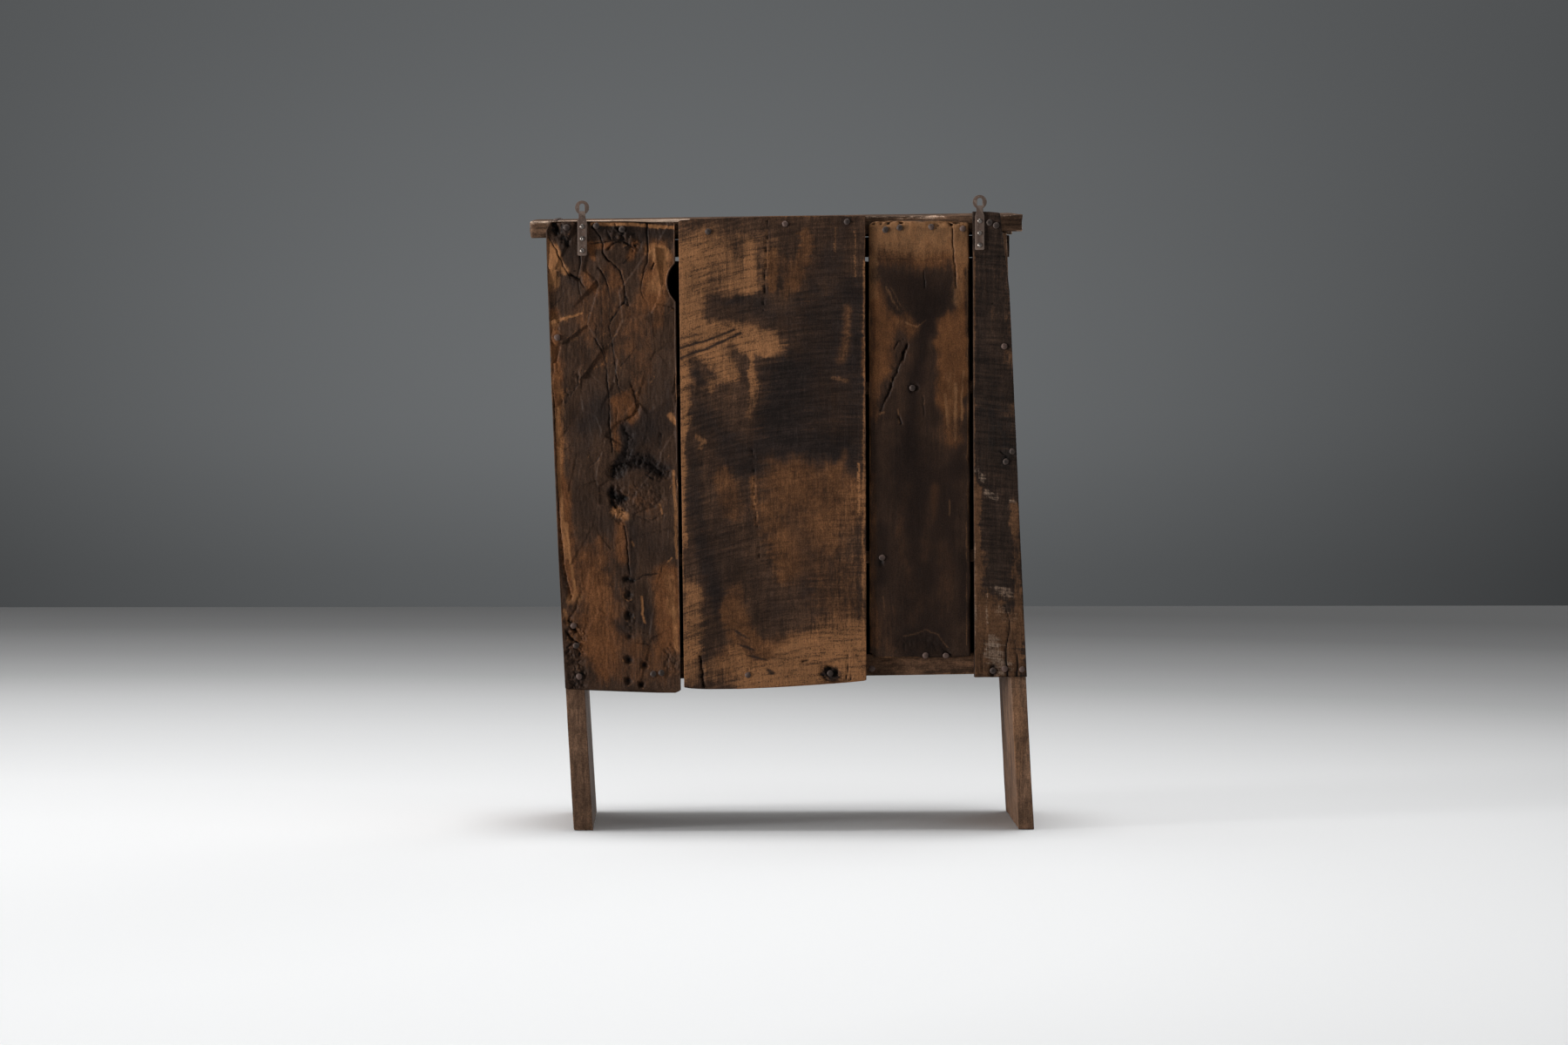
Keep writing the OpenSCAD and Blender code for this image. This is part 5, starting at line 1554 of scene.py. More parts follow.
SAWN_TINTS = (
    *paint(
        Tone.STAIN, (0.62, 58, "940,350 946,400 934,450 940,505"), (0.7, 38, "900,425 892,480 884,518"),
        (0.5, 24, "978,330 984,430 982,515"), (0.62, 30, "806,480 830,500 846,530"),
        (0.56, 15, "795,520 798,560 801,605 808,640 818,672"), (0.42, 34, "830,612 838,650 842,690"),
        (0.34, 20, "868,655 884,690 888,716"), (0.55, 20, "922,636 928,680"), (0.15, 9, "962,650 966,690"),
        (0.5, 30, "882,520 925,526 965,522"), (0.45, 22, "872,540 886,552 892,572"),
        (0.4, 24, "842,306 858,340 886,366"), (0.56, 30, "912,610 934,628 922,652"),
        (0.3, 6, "966,684 968,700"), (0.5, 15, "820,682 823,702"), (0.7, 8, "953,768 955,778"),
        (0.6, 7, "858,772 862,778"), (0.5, 22, "965,262 955,300"), (0.25, 12, "800,256 812,262"),
    ),
    *paint(
        Tone.WARM, (0.9, 9, "886,290 885,330"), (0.65, 15, "925,272 922,300 914,322"),
        (0.5, 15, "900,300 905,335"), (0.6, 20, "828,545 842,585"), (0.62, 44, "905,552 945,560 975,575"),
        (0.6, 26, "880,590 895,620 905,650"), (0.5, 56, "940,630 960,680 970,710"),
        (0.3, 36, "880,530 940,600"), (0.9, 18, "836,700 850,722 868,748"),
        (0.5, 10, "972,355 970,400 964,412"), (0.6, 4, "990,390 990,430"),
        (0.7, 30, "840,760 880,750 940,742"), (0.4, 20, "845,680 850,700"), (0.5, 8, "970,518 958,545"),
        (0.6, 6, "864,548 866,580"),
    ),
    *paint(
        Tone.WEAR_AND_HIGHLIGHT, (0.72, 13, "783,290 783,370 783,460"), (0.48, 30, "806,292 836,312 854,320"),
        (0.6, 8, "862,280 861,335"), (0.35, 20, "830,335 858,330"), (0.6, 18, "797,305 804,332 793,366"),
        (0.36, 34, "795,275 850,280 880,290"), (0.75, 12, "786,465 785,485"),
        (0.8, 6.5, "783,490 783,560 785,625"), (0.62, 18, "792,672 796,690 797,705 794,742"),
        (0.5, 14, "793,745 792,778"), (0.55, 5, "800,500 808,506 805,514"), (0.8, 1.8, "864,548 866,580"),
        (0.2, 26, "905,555 935,560 975,565"), (0.2, 18, "884,596 898,612"),
        (0.78, 38, "900,760 940,746 985,738"), (0.86, 27, "860,782 985,778"), (0.5, 22, "818,768 850,752"),
        (0.28, 46, "964,716 966,660 975,600"), (0.55, 2.2, "991,300 991,500 990,780"),
        (0.4, 10, "866,430 867,445 862,476"),
    ),
    *paint(
        Tone.WEAR_AND_HIGHLIGHT, (0.5, 1.9, "959,262 958,289"), (0.5, 1.9, "981,266 981,318"),
        (0.3, 4.5, "975,355 972,385 967,410"), (0.42, 4, "955,434 971,437"),
        (0.85, 1.9, "985,532 986,590"), (0.4, 2, "858,395 862,415"), soft=0.5
    ),
    *paint(
        Tone.WEAR_AND_HIGHLIGHT, (0.7, 27, "803,383 838,382 862,391 880,398"), (0.66, 20, "808,404 828,416 834,428"),
        (0.5, 14, "803,438 815,442"), (0.85, 8, "876,392 887,398 880,405"), soft=0.7
    ),
    *paint(
        Tone.STAIN, (0.3, 16, "836,346 850,352 872,350"), (0.4, 6, "820,347 834,348 850,344"),
        (0.62, 2.6, "781,399 815,390 842,378"), (0.62, 2.6, "781,410 815,399 850,382"),
        (0.5, 2.2, "781,388 800,384"), (0.6, 9, "799,428 806,440"), (0.2, 9, "836,700 850,726 870,752"),
        (0.3, 5, "846,726 856,742 868,754"), (0.7, 12, "949,771 958,774"), (0.45, 1.9, "842,722 860,732"),
        (0.45, 1.9, "846,738 866,746"), (0.45, 1.9, "858,752 880,756"), (0.6, 4, "882,768 887,772"),
        (0.5, 4, "986,674 988,688"), (0.35, 5, "952,640 955,684"),
        (0.3, 2.2, "830,768 880,754 950,738 990,732"), (0.35, 2.4, "905,771 925,763 985,752"),
    ),
    *paint(
        Tone.WEAR_AND_HIGHLIGHT, (0.6, 4, "860,396 863,420 862,452"), (0.5, 7, "861,426 864,440"),
        # The wear on the next line, along the top edge, is also a painted highlight on the lit arris
        (0.8, 3, "783,250 835,248 880,247 935,246 990,245"),
    ),
)

WARM_CUTS = cuts(
    (9, 4, 4, 0.9, "1032,250 1033,255"), (10, 5, 5, 0.9, "1090,250 1091,258"),
    (4, 1.4, 1.4, 0.7, "1093,262 1093,276 1095,300 1097,330"),
    (7, 2.4, 4.5, 0.9, "1040,396 1036,406 1034,415"), (4, 1.6, 3, 0.75, "1033,416 1027,430 1024,437"),
    (6, 2, 3.6, 0.85, "1023,440 1020,449 1015,459"), (3, 1.5, 3, 0.7, "1015,460 1010,471"),
    (3, 3, 3, 0.6, "1031,477 1034,486"), (3.5, 1.6, 1.6, 0.6, "1027,400 1031,392 1036,390"),
    (3.5, 10, 10, 0.5, "1048,445.5"), (3, 16, 22, 0, "1038,740 1062,734 1086,746"),
    (9, 7, 7, 1, "1087,753"), (9, 5, 4.5, 1, "998,752 1001,756"),
    (1.2, 1.4, 1.4, 0.4, "1000,281 1020,282 1050,280.5 1080,282"),
    (1.4, 1.4, 1.4, 0.5, "1002,297 1060,299 1085,297"), (1, 1.4, 1.4, 0.3, "1010,289 1060,291"),
    (3, 5, 5, 0.6, "1011,640 1011,648"), (2, 1.4, 1.4, 0.5, "1060,312 1061,330"),
    (1.6, 1.4, 1.4, 0.5, "1059,455 1060,478"),
)
WARM_DECAY = decays(
    (6, 0.8, 2, "1000,255 1050,254 1108,257"), (9, 0.4, 1.2, "1038,400 1020,445"),
)
WARM_TINTS = (
    *paint(
        Tone.STAIN, (0.6, 9, "1005,322 1020,350 1034,366"), (0.58, 28, "1020,318 1040,332 1046,350"),
        (0.45, 15, "1096,330 1080,345 1062,362"), (0.58, 26, "1058,322 1064,345 1062,365"),
        (0.75, 15, "1061,368 1057,400 1050,430"), (0.7, 14, "1049,440 1045,480 1040,520"),
        (0.5, 15, "1075,432 1072,480"), (0.66, 72, "1055,560 1062,640 1060,705"),
        (0.4, 28, "1036,520 1046,560"), (0.55, 11, "1012,610 1012,665"), (0.55, 20, "1046,742 1076,742"),
        (0.5, 14, "1098,500 1104,540"), (0.6, 6, "1109,300 1110,380"),
        (0.3, 16, "1088,540 1090,600 1092,650"), (0.5, 11, "1108,640 1109,705"),
        (0.28, 18, "1084,296 1086,366"), (0.5, 14, "1033,262 1034,266"), soft=1.15
    ),
    *paint(
        Tone.WARM, (0.75, 20, "1003,335 1012,372 1010,420"), (0.45, 16, "1006,430 1003,475"),
        (0.55, 15, "1026,372 1038,368 1046,378"), (1, 20, "1088,372 1089,430 1092,462"),
        (0.5, 16, "1094,478 1096,505"), (0.85, 9, "1101,300 1104,400 1106,450"),
        (0.3, 18, "1082,630 1088,660 1084,700"), (0.3, 12, "1042,560 1032,610 1046,680"),
        (0.3, 10, "1072,560 1066,600 1060,640"), (0.3, 14, "1060,690 1046,712"),
        (0.3, 20, "1020,700 1016,740"), (0.42, 9, "1001,545 1001,640 1002,740"),
        (0.6, 30, "1010,285 1050,290 1095,288"), (0.6, 14, "1097,262 1100,290"),
    ),
    *paint(
        Tone.WEAR_AND_HIGHLIGHT, (0.62, 34, "1003,268 1050,272 1105,268"), (0.45, 14, "1101,290 1098,345"),
        (0.4, 12, "1000,300 1003,338"), (0.3, 6, "1030,372 1044,366"), (0.35, 12, "1090,430 1092,475"),
        (0.4, 3, "1017,330 1030,355"),
    ),
    *paint(
        # The first wear on the next line, along the top edge, is also a painted highlight on the lit rounded
        # arris
        Tone.WEAR_AND_HIGHLIGHT, (1, 6, "998,256 1050,255 1085,257 1108,256"), (0.5, 2.6, "1105,425 1103,482"),
        (0.45, 2.6, "1097,440 1096,505"), (0.4, 2.4, "1084,452 1088,490"),
        (0.42, 1.9, "1089,574 1089,591"), (0.3, 1.9, "1014,684 1015,712"),
        (0.4, 2, "1037,730 1055,727 1062,723 1076,728 1088,744"),
        (0.75, 2.6, "1004,757 1040,757 1080,758"), (0.6, 2.4, "996.5,300 996.5,500 997,740"),
        (0.45, 1.8, "1110,300 1110,500 1110,740"), (0.6, 2, "1084,275 1090,270"),
        (0.5, 3, "1010,475 1014,473"), (0.45, 2, "1040,371 1052,376 1062,368"),
        (0.4, 2, "1030,470 1032,486"), (0.35, 1.9, "1022,330 1034,352"), soft=0.6
    ),
)

DARK_CUTS = cuts(
    (1.6, 1.4, 1.4, 0.5, "1119,295.5 1140,295.5 1158,294.5"), (4, 8, 8, 0.8, "1140,765 1139,775"),
    (2, 1.4, 1.4, 0.5, "1131,715 1129,745 1127,772"), (2.6, 2, 2, 0.7, "1148,518 1156,524 1150,530"),
    (2, 2.5, 2.5, 0.7, "1138.6,348"),
)
DARK_TINTS = (
    *paint(
        Tone.STAIN, (0.5, 40, "1140,430 1142,520"), (0.85, 13, "1137,762 1141,772"),
        (0.42, 24, "1140,640 1138,700"), (0.5, 10, "1175,765 1174,775"),
    ),
    *paint(
        Tone.WARM, (0.28, 26, "1130,330 1150,370"), (0.35, 18, "1158,410 1160,470"),
        (1, 8, "1118.5,560 1119,650 1120,770"), (0.8, 3, "1116,290 1117,560"),
        (1, 46, "1141,724 1146,765"), (0.6, 10, "1162,580 1166,640 1171,730"),
        (0.5, 18, "1124,640 1124,745"), (0.3, 10, "1150,305 1152,340"),
    ),
    *paint(
        Tone.WEAR_AND_HIGHLIGHT, (0.46, 7, "1122,538 1127,552"), (0.46, 7, "1131,565 1142,572"),
        (0.38, 12, "1142,676 1158,684"), (0.36, 14, "1146,700 1162,708"), (0.4, 2.2, "1132,682 1132,716"),
        (0.22, 8, "1121,694 1122,708"), (0.5, 4, "1159,575 1164,576"),
        (0.2, 2.4, "1168,430 1172,600 1176,760"), (0.2, 5, "1118,620 1119,740"),
        (0.5, 24, "1140,744 1148,765"), (0.14, 2, "1116,300 1117,500 1117,770"), soft=0.6
    ),
)


@dataclass
class Carcass:
    """Sides, top, bottom board, shelves and the four planks of the back."""

    def planks(self) -> list[Board]:
        """Lists the back, from the right side of the cupboard to the left.

        Returns:
            Its planks.
        """
        return [
            BackPlank("back_plank_1", HEWN_OAK, pitch=(1.3, 4.5, 1.8), round_by=2.4, ragged=1.4, swell=1.4,
                      rough_by=0.5, checks=2, check_depth=4.0, seed=11, cuts=HEWN_CUTS, tints=HEWN_TINTS,
                      decay=HEWN_DECAY, hewn=3.0, hewn_above=560.0, chips=110, fixings=("nails_back_1",)),
            BackPlank("back_plank_2", SAWN_OAK, pitch=(2.6, 4.5, 1.6), round_by=1.6, ragged=0.7, swell=0.8,
                      rough_by=0.2, checks=2, check_depth=2.5, seed=12, cuts=SAWN_CUTS, tints=SAWN_TINTS,
                      decay=SAWN_DECAY, sawn=0.2, fixings=("nails_back_2",)),
            BackPlank("back_plank_3", WARM_OAK, pitch=(1.5, 4.0, 2.6), round_by=5.0, ragged=1.2, swell=1.0,
                      rough_by=0.25, checks=0, seed=13, cuts=WARM_CUTS, tints=WARM_TINTS,
                      decay=WARM_DECAY, fixings=("nails_back_3",)),
            BackPlank("back_plank_4", DARK_OAK, pitch=(1.8, 4.5, 1.5), round_by=2.0, ragged=1.0, swell=0.9,
                      rough_by=0.3, checks=2, seed=14, cuts=DARK_CUTS, tints=DARK_TINTS,
                      sawn=0.22, edge_wear=0.16, fixings=("nails_back_4",)),
        ]

    def boards(self) -> list[Board]:
        """Lists the boards that aren't part of the back.

        Returns:
            Sides, top, bottom board, shelves, stiles, rail and strip.
        """
        # Stretches of the top's rear edge by first and last column and strength: wear with a painted
        # highlight
        top_edge_highlight = ((606, 640, 0.55), (640, 664, 0.9), (664, 705, 0.7), (705, 792, 1.0), (992, 1040, 0.3),
                    (1040, 1085, 0.4), (1130, 1170, 0.35))
        strip_oak = replace(TOP_OAK, mid=(0.105, 0.062, 0.038))
        left_oak = replace(GREY_OAK, mid=(0.200, 0.112, 0.067))
        level_grey = replace(GREY_OAK, grain=Grain.ALONG_X)
        level_front = replace(FRONT_OAK, grain=Grain.ALONG_X)
        bottom_oak = replace(level_front, slot="oak_warm", dark=(0.058, 0.031, 0.018),
                             mid=(0.13, 0.066, 0.036))
        return [
            Board("side_right", GREY_OAK, pitch=(4.0, 4.0, 5.0), round_by=2.2, outline=True, outer=1, seed=21,
                  checks=6, check_depth=4.0, fixings=("nails_side_right",)),
            Board("side_left", left_oak, pitch=(4.0, 4.0, 5.0), round_by=2.2, outline=True, outer=-1, seed=22,
                  checks=6, check_depth=4.0, fixings=("nails_side_left",)),
            TopBoard("top_rear_plank", TOP_OAK, pitch=(2.4, 2.4, 2.0), round_by=4.5, ragged=2.4, swell=1.8,
                     rough_by=1.1, checks=12, check_depth=10.0, seed=23, fixings=("nails_top",),
                     pale_wear_and_highlight=top_edge_highlight),
            Board("top_front_plank", TOP_OAK, pitch=(3.4, 3.0, 3.0), round_by=3.0, ragged=1.8, swell=1.2,
                  rough_by=0.7, checks=8, check_depth=8.0, seed=24, edge_wear=0.8, fixings=("nails_top",)),
            Board("bottom_board", bottom_oak, pitch=(3.0, 5.0, 2.2), seed=25, edge_wear=1.0, ragged=1.2),
            Board("shelf_lower", level_grey, pitch=(5.5, 5.0, 4.0), seed=26),
            Board("shelf_upper", level_grey, pitch=(5.5, 5.0, 4.0), seed=27),
            Board("stile_right", FRONT_OAK, pitch=(3.0, 4.0, 4.5), outline=True, seed=31,
                  fixings=("nails_front", "nails_leaf_right")),
            Board("stile_left", FRONT_OAK, pitch=(3.0, 4.0, 4.5), outline=True, seed=32,
                  fixings=("nails_front", "nails_leaf_left")),
            Board("front_rail", level_front, pitch=(4.5, 4.0, 2.5), seed=33, fixings=("nails_front",)),
            Board("packing_strip", strip_oak, pitch=(5.0, 4.0, 3.0), seed=34, checks=2, check_depth=1.5),
        ]

    def build(self) -> list[Object]:
        """Makes every board of the carcass."""
        return [board.build() for board in (*self.planks(), *self.boards())]


@dataclass
class Door:
    """One ledged door: two planks, two battens and a knob."""

    side: Side

    @property
    def body(self) -> str:
        """Name of the body that the door's pieces ride."""
        return f"door_{self.side.value}"

    def build(self) -> list[Object]:
        """Makes the door's boards and its knob.

        Returns:
            The door's pieces.
        """
        word = self.side.value
        nails = (f"nails_door_{word}", f"nails_strap_{word}")
        seed = 40 if self.side is Side.RIGHT else 50
        batten_oak = replace(GREY_OAK, grain=Grain.ALONG_X)
        parts = (("hinge_plank", FRONT_OAK, (3.0, 4.0, 4.5), 0),
                 ("meeting_plank", FRONT_OAK, (3.0, 4.0, 4.5), 1),
                 ("batten_lower", batten_oak, (4.5, 4.0, 3.0), 5),
                 ("batten_upper", batten_oak, (4.5, 4.0, 3.0), 6))
        made = [Board(f"{self.body}_{part}", finish, self.body, pitch, boxed=True, seed=seed + step,
                      fixings=nails).build() for part, finish, pitch, step in parts]
        return [*made, EasedPiece((f"knob_{word}",), TURNED_WOOD, self.body, ease=0.25).build()]


@dataclass
class EasedPiece:
    """Small pieces whose edges are eased and whose skin is shaded smooth between them."""

    nodes: tuple[str, ...]
    finish: WoodFinish | MetalFinish
    body: str = "root"
    ease: float = 0.4

    FLAT = math.radians(1.0)
    EASED_FROM = math.radians(35)
    SHARP_FROM = math.radians(38)

    def build(self) -> Object:
        """Copies the nodes' solids, eases their edges and dresses them.

        Returns:
            The piece that stands for the nodes.
        """
        bm = bmesh.new()
        for node in self.nodes:
            bm.from_mesh(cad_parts[node].data)
        bmesh.ops.remove_doubles(bm, verts=bm.verts, dist=2e-6)
        bmesh.ops.dissolve_limit(bm, angle_limit=self.FLAT, verts=bm.verts, edges=bm.edges)
        edges = [e for e in bm.edges if len(e.link_faces) == 2 and e.calc_face_angle(0.0) > self.EASED_FROM]
        bmesh.ops.bevel(bm, geom=edges, offset=self.ease * MM, segments=2, profile=0.6, affect="EDGES",
                        clamp_overlap=True)
        bmesh.ops.recalc_face_normals(bm, faces=bm.faces)
        mesh = bpy.data.meshes.new(f"eased_{self.nodes[0]}")
        bm.to_mesh(mesh)
        bm.free()
        mesh.shade_smooth()
        mesh.set_sharp_from_angle(angle=self.SHARP_FROM)
        put_tone(mesh, np.zeros((len(mesh.vertices), len(Tone))))
        return show(mesh, self.finish, self.body, *self.nodes)


class FixingTree(Tree):
    """Geometry nodes that forge a head at each point."""

    def __init__(self, name: str, slotted: bool) -> None:
        """Builds the tree.

        Args:
            name: Name of the node group.
            slotted: Whether the heads are domed screws with a slot rather than forged nails.
        """
        self.group = bpy.data.node_groups.new(name, "GeometryNodeTree")
        super().__init__(self.group)
        face = self.group.interface
        face.new_socket("Points", in_out="INPUT", socket_type="NodeSocketGeometry")
        for label, default in (("Sunk Share", 1.3), ("Dent Depth", 0.0004), ("Dent Scale", 230.0),
                               ("Slot Width", 0.24), ("Slot Depth", 0.5)):
            face.new_socket(label, in_out="INPUT", socket_type="NodeSocketFloat").default_value = default
        face.new_socket("Seed", in_out="INPUT", socket_type="NodeSocketInt")
        face.new_socket("Finish", in_out="INPUT", socket_type="NodeSocketMaterial")
        face.new_socket("Heads", in_out="OUTPUT", socket_type="NodeSocketGeometry")
        given = self.nodes.new("NodeGroupInput")
        self.given = {s.name: Link(self, s) for s in given.outputs if s.name}
        head = self.prototype(slotted)
        radius = self.named("FLOAT", "radius")
        turn = self.random(0.0, 6.283, self.given["Seed"])
        swell = self.random(0.9, 1.1, self.given["Seed"] + 7.0)
        aim = self.node("FunctionNodeAlignRotationToVector", {"axis": "Z"},
                        {"Vector": self.named("FLOAT_VECTOR", "way")})
        spin = self.node("FunctionNodeAxisAngleToRotation", {}, {"Axis": (0.0, 0.0, 1.0), "Angle": turn})
        aim = self.node("FunctionNodeRotateRotation", {"rotation_space": "LOCAL"},
                        {"Rotation": aim, "Rotate By": spin})
        size = self.node("ShaderNodeCombineXYZ", {},
                         {0: radius * swell, 1: radius, 2: self.named("FLOAT", "height")})
        placed = self.node("GeometryNodeInstanceOnPoints", {}, {
            "Points": self.given["Points"], "Instance": head, "Rotation": aim, "Scale": size})
        real = self.node("GeometryNodeRealizeInstances", {}, {0: placed})
        dents = self.noise(self.node("GeometryNodeInputPosition"), self.given["Dent Scale"], 2.0)
        push = (dents - 0.62) * self.given["Dent Depth"]
        push = self.node("ShaderNodeVectorMath", {"operation": "SCALE"},
                         {0: self.node("GeometryNodeInputNormal"), "Scale": push})
        real = self.node("GeometryNodeSetPosition", {}, {"Geometry": real, "Offset": push})
        real = self.node("GeometryNodeSetShadeSmooth", {}, {"Geometry": real, "Shade Smooth": True})
        real = self.node("GeometryNodeSetMaterial", {}, {"Geometry": real, "Material": self.given["Finish"]})
        end = self.nodes.new("NodeGroupOutput")
        self.links.new(real.socket, end.inputs[0])

    def named(self, kind: str, name: str) -> Link:
        """Attribute of the points by its name."""
        return self.node("GeometryNodeInputNamedAttribute", {"data_type": kind}, {"Name": name})

    def random(self, low: float, high: float, seed: Link) -> Link:
        """Random number of each point."""
        return self.node("FunctionNodeRandomValue", {"data_type": "FLOAT"}, {2: low, 3: high, 8: seed}, 1)

    def prototype(self, slotted: bool) -> Link:
        """One head of radius 1 and height 1, with its lower part sunk below the surface.

        Args:
            slotted: Whether it is a screw's head.

        Returns:
            The head's mesh.
        """
        rounds = 4 if slotted else 3
        ball = self.node("GeometryNodeMeshIcoSphere", {}, {"Radius": 1.0, "Subdivisions": rounds})
        height = self.axis(self.node("GeometryNodeInputPosition"), "Z")
        sunk = height * (height.math("LESS_THAN", 0.0) * (self.given["Sunk Share"] - 1.0))
        ball = self.node("GeometryNodeSetPosition", {}, {
            "Geometry": ball, "Offset": self.node("ShaderNodeCombineXYZ", {}, {2: sunk})})
        if not slotted:
            return ball
        bar_size = self.node("ShaderNodeCombineXYZ", {}, {0: 3.0, 1: self.given["Slot Width"], 2: 1.0})
        bar = self.node("GeometryNodeMeshCube", {}, {"Size": bar_size})
        lift = self.node("ShaderNodeCombineXYZ", {}, {2: 1.5 - self.given["Slot Depth"]})
        bar = self.node("GeometryNodeTransform", {}, {"Geometry": bar, "Translation": lift})
        return self.node("GeometryNodeMeshBoolean", {"operation": "DIFFERENCE", "solver": "EXACT"},
                         {0: ball, 1: bar})


@dataclass
class Fixings:
    """The nails or screws of one body, forged at the places of the CAD nodes."""

    name: str
    nodes: tuple[str, ...]
    finish: MetalFinish
    body: str = "root"
    slotted: bool = False
    seed: int = 5

    # Depth of the dents in metres
    DENT = 0.0016
    SCREW_DENT = 0.00035

    def points(self) -> Object:
        """Makes a vertex at each head's seat, with its way and size beside it.

        Returns:
            The object of the vertices.
        """
        heads = [head for node in self.nodes for head in heads_of(node)]
        mesh = bpy.data.meshes.new(f"{self.name}_points")
        mesh.from_pydata([head.seat for head in heads], [], [])
        way = mesh.attributes.new("way", "FLOAT_VECTOR", "POINT")
        way.data.foreach_set("vector", np.array([head.way[:] for head in heads], dtype=np.float32).ravel())
        for label in ("radius", "height"):
            sizes = mesh.attributes.new(label, "FLOAT", "POINT")
            sizes.data.foreach_set("value", [getattr(head, label) for head in heads])
        return placed(mesh.name, mesh)

    def build(self) -> Object:
        """Runs the tree and keeps its result as a plain mesh.

        Returns:
            The piece that stands for the nodes.
        """
        source = self.points()
        tree = FixingTree(self.name + "_tree", self.slotted)
        modifier = source.modifiers.new("heads", "NODES")
        modifier.node_group = tree.group
        wanted = {"Seed": self.seed, "Finish": material_of(self.finish),
                  "Dent Depth": self.SCREW_DENT if self.slotted else self.DENT}
        for item in tree.group.interface.items_tree:
            if item.in_out == "INPUT" and item.name in wanted:
                modifier[item.identifier] = wanted[item.name]
        result = source.evaluated_get(bpy.context.evaluated_depsgraph_get())
        mesh = bpy.data.meshes.new_from_object(result)
        bpy.data.objects.remove(source)
        mesh.name = self.name
        return show(mesh, self.finish, self.body, *self.nodes)


class Ironwork:
    """Nails, screws, hanging plates and hinges, and the turn button."""

    CARCASS_NAILS = ("nails_back_1", "nails_back_2", "nails_back_3", "nails_back_4", "nails_top",
                     "nails_side_right", "nails_side_left", "nails_front", "nails_leaf_right",
                     "nails_leaf_left")

    def on_side(self, word: str) -> list[Fixings | EasedPiece]:
        """Lists the irons of one side.

        Args:
            word: The side's word.

        Returns:
            Its nails, hanging plate, hinge pins, leaves and straps.
        """
        door = f"door_{word}"
        nails = (f"nails_door_{word}", f"nails_strap_{word}")
        hinges = [EasedPiece((f"{part}_{word}_{level}",), FORGED_IRON, body)
                  for level in ("lower", "upper") for part, body in (("leaf", "root"), ("strap", door))]
        return [
            Fixings(f"nail_heads_{door}", nails, FORGED_IRON, door, seed=6),
            EasedPiece((f"hanging_plate_{word}",), PLATE_STEEL, ease=0.45),
            EasedPiece((f"hinge_pins_{word}",), WORN_STEEL, ease=0.3),
            *hinges,
        ]

    def build(self) -> list[Object]:
        """Makes every piece of iron and the turn button.

        Returns:
            The pieces.
        """
        parts = [
            Fixings("nail_heads_carcass", self.CARCASS_NAILS, FORGED_IRON, seed=3),
            Fixings("plate_screw_heads", ("plate_screws",), SCREW_STEEL, slotted=True, seed=4),
            EasedPiece(("turn_button",), TURNED_WOOD, "turn_button"),
            EasedPiece(("button_screw",), WORN_STEEL, ease=0.3),
        ]
        for side in Side:
            parts += self.on_side(side.value)
        return [part.build() for part in parts]


# Studio


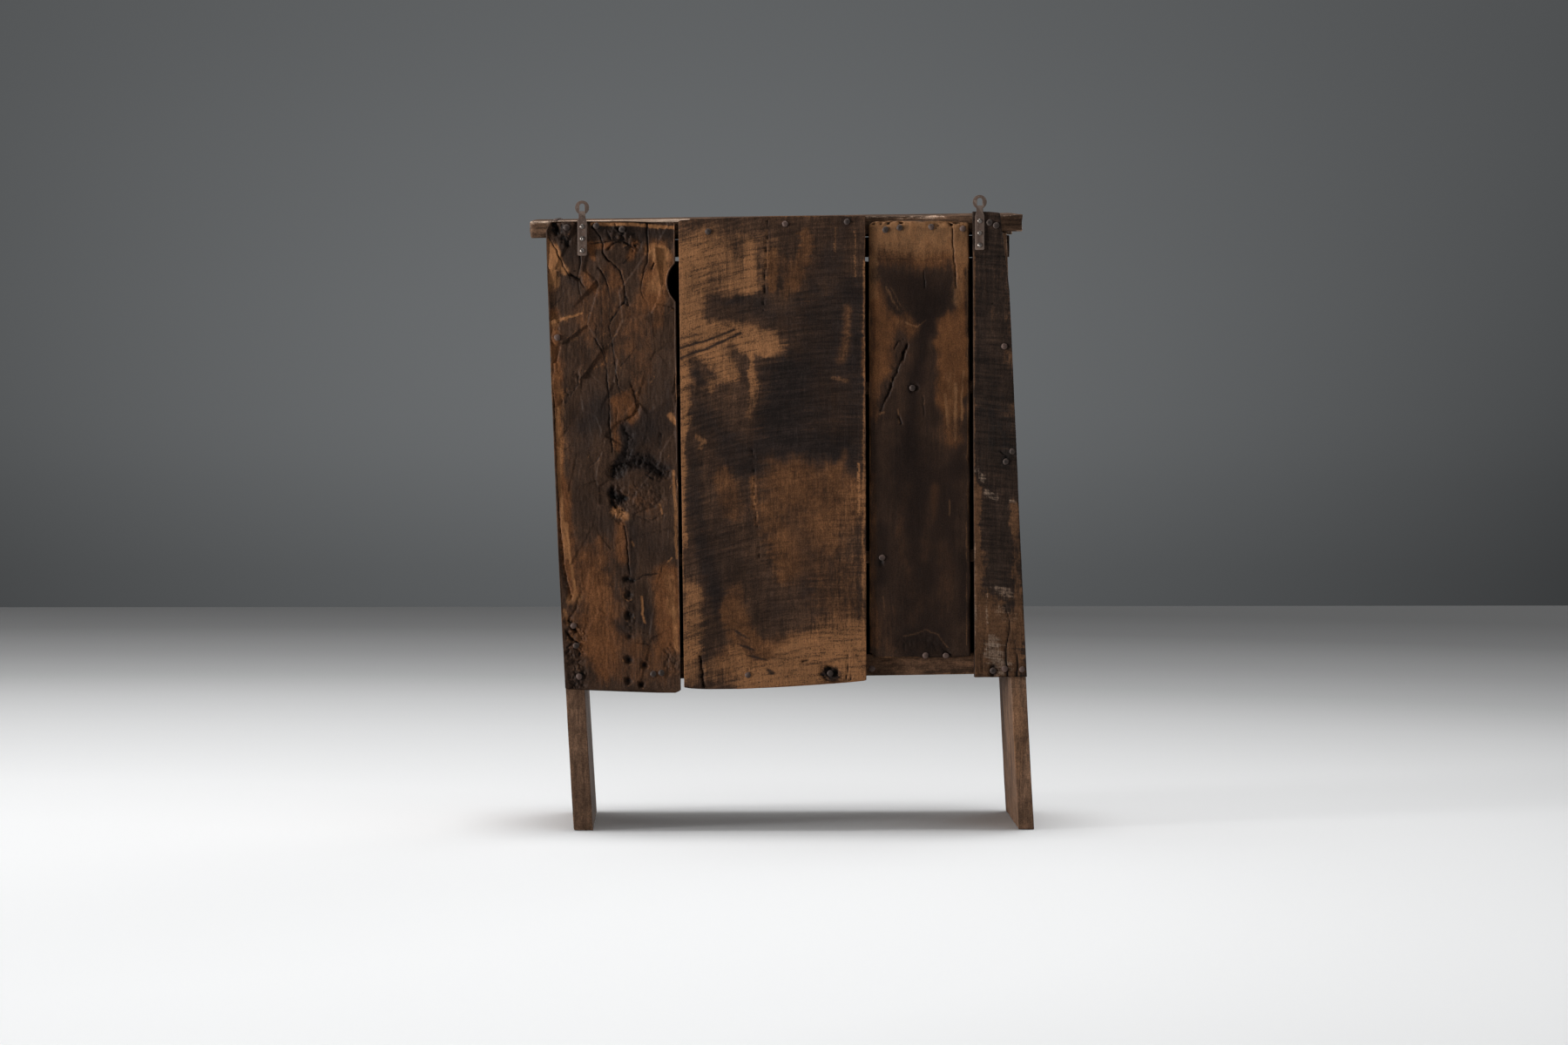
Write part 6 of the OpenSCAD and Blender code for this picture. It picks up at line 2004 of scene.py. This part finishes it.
class Studio:
    """Floor and grey backdrop with painted falloff of light, soft lights and the photograph's camera."""

    FLOOR_MIDDLE = (1.5, 1.2)
    # Painted falloff of light on the floor: its colour by distance from FLOOR_MIDDLE
    FLOOR_PAINTED_FALLOFF = ((0.0, 0.94), (1.2, 0.93), (2.0, 0.885), (2.7, 0.79), (3.4, 0.69), (4.2, 0.55),
                   (5.0, 0.375), (5.8, 0.265), (7.0, 0.155), (8.0, 0.115))
    FLOOR_REACH = 9.0
    FLOOR_WIDTH = 12.0
    FLOOR_END = -6.85
    # Painted pool of light on the backdrop: brightest at the horizon, darker above and below
    WALL_PAINTED_LIGHT = ((0.0, 0.06), (0.47, 0.103), (0.4744, 0.1065), (0.4776, 0.113), (0.4812, 0.124),
                  (0.4847, 0.1335), (0.4901, 0.148), (0.497, 0.1495), (0.5036, 0.1475), (0.5206, 0.1345),
                  (0.5296, 0.124), (0.56, 0.1), (0.7, 0.085))
    WALL_MIDDLE = -0.0026
    CAMERA_PLACE = (0.1624, 8.532, 0.8468)
    CAMERA_WAY = (-110.0, -5569.0, -210.0)
    CAMERA_LENS = 111.4
    # Place of each sun, its strength in watts per square metre and its angle in degrees
    SUNS = {
        "overhead": ((0.1, -0.24, 6.0), 1.7, 20.0),
        "wide_overhead": ((0.6, 0.0, 6.0), 0.74, 66.0),
        "left_key": ((6.0, 2.3, 0.2), 3.9, 14.0),
        "right_fill": ((-4.5, 5.0, 0.25), 0.45, 50.0),
        "door_light": ((-3.4, -5.0, 0.25), 1.5, 40.0),
        "door_fill": ((4.5, -5.0, 0.2), 0.5, 60.0),
    }

    def floor(self) -> None:
        """Near-white floor whose colour, as the camera sees it, darkens away from a middle point near the
        cupboard: a painted falloff of light.
        """
        wide = self.FLOOR_WIDTH
        mesh = bpy.data.meshes.new("floor")
        mesh.from_pydata([(-wide, self.FLOOR_END, 0), (wide, self.FLOOR_END, 0), (wide, wide, 0),
                          (-wide, wide, 0)], [], [(0, 1, 2, 3)])
        tree = ShaderTree("floor")
        where = tree.node("ShaderNodeTexCoord", output="Object")
        off = tree.node("ShaderNodeVectorMath", {"operation": "DISTANCE"},
                        {0: where, 1: (*self.FLOOR_MIDDLE, 0.0)}, "Value")
        stops = [(d / self.FLOOR_REACH, (v, v * 1.005, v * 1.01)) for d, v in self.FLOOR_PAINTED_FALLOFF]
        tone = tree.node("ShaderNodeValToRGB", {"stops": stops}, {0: off / self.FLOOR_REACH})
        # Only the camera sees the painted falloff; other rays see an even grey
        seen = tree.node("ShaderNodeLightPath", output="Is Camera Ray")
        tone = tree.mix(seen, (0.45, 0.45, 0.455), tone)
        mesh.materials.append(tree.finish(tree.node("ShaderNodeBsdfDiffuse", {}, {"Color": tone})))
        placed("floor", mesh)

    def sun(self, name: str, place: tuple[float, float, float], strength: float, angle: float) -> None:
        """Adds one sun that shines on the cupboard.

        Args:
            name: Name of the lamp.
            place: Where it stands.
            strength: Watts per square metre.
            angle: Angle that it fills, in degrees.
        """
        data = bpy.data.lights.new(name, "SUN")
        data.energy = strength
        data.angle = math.radians(angle)
        made = placed(name, data)
        made.location = place
        made.rotation_euler = (Vector() - Vector(place)).to_track_quat("-Z", "Y").to_euler()

    def backdrop(self) -> None:
        """Grey world: seen as the photograph's backdrop, with a painted pool of light that falls off to the
        sides, and even light for everything else.
        """
        world = bpy.data.worlds.new("studio")
        bpy.context.scene.world = world
        world.use_nodes = True
        tree = Tree(world.node_tree)
        tree.nodes.clear()
        way = tree.node("ShaderNodeTexCoord", output="Generated")
        rise, across = tree.axis(way, "Z"), tree.axis(way, "X")
        stops = [(at, (0.96 * v, 1.005 * v, 1.035 * v)) for at, v in self.WALL_PAINTED_LIGHT]
        tone = tree.node("ShaderNodeValToRGB", {"stops": stops}, {0: rise * 0.5 + 0.5})
        # Painted falloff of light towards the sides, stronger below the horizon
        off = across + self.WALL_MIDDLE
        square = off * off
        lower = (1.04 - rise * 5.4).math("MAXIMUM", 0.6).math("MINIMUM", 1.2)
        fall = (square * 22.0) / (square * 15.0 + 1.0) * lower
        light = 1.0 - fall.math("MINIMUM", 0.6)
        seen_wall = tree.node("ShaderNodeBackground", {}, {"Color": tone, "Strength": light})
        even = tree.node("ShaderNodeBackground", {}, {"Color": (0.97, 0.985, 1.0), "Strength": 0.105})
        path = tree.nodes.new("ShaderNodeLightPath")
        seen = Link(tree, path.outputs["Is Camera Ray"]) + Link(tree, path.outputs["Is Glossy Ray"])
        seen = seen.math("ADD", Link(tree, path.outputs["Is Transmission Ray"]), clamp=True)
        mixed = tree.node("ShaderNodeMixShader", {}, {0: seen, 1: even, 2: seen_wall})
        out = tree.nodes.new("ShaderNodeOutputWorld")
        tree.links.new(mixed.socket, out.inputs["Surface"])

    def camera(self) -> None:
        """Camera at the photograph's place and angle."""
        data = bpy.data.cameras.new("camera")
        data.lens = self.CAMERA_LENS
        data.sensor_width = 36.0
        data.clip_end = 60.0
        data.dof.use_dof = False
        made = placed("camera", data)
        made.location = self.CAMERA_PLACE
        made.rotation_euler = Vector(self.CAMERA_WAY).to_track_quat("-Z", "Y").to_euler()
        bpy.context.scene.camera = made

    def build(self) -> None:
        """Makes the floor, the suns, the backdrop and the camera."""
        self.floor()
        for name, (place, strength, angle) in self.SUNS.items():
            self.sun(name, place, strength, angle)
        self.backdrop()
        self.camera()


def corners(box: tuple[Vector, Vector]) -> list[list[float]]:
    """Box as plain lists."""
    return [[round(v, 6) for v in corner] for corner in box]


def main() -> None:
    """Builds the cupboard's pieces and the studio round them."""
    logging.basicConfig(level=logging.INFO, format="%(name)s: %(message)s")
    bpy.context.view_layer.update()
    pieces = Carcass().build()
    for side in Side:
        pieces += Door(side).build()
    pieces += Ironwork().build()
    for piece in pieces:
        log.info("%s: %d faces", piece.name, len(piece.data.polygons))
    for node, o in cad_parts.items():
        if not o.hide_render:
            log.warning("%s is shown as it was packed", node)
    Studio().build()
    bpy.context.scene.view_settings.view_transform = "Standard"


if __name__ == "__main__":
    main()
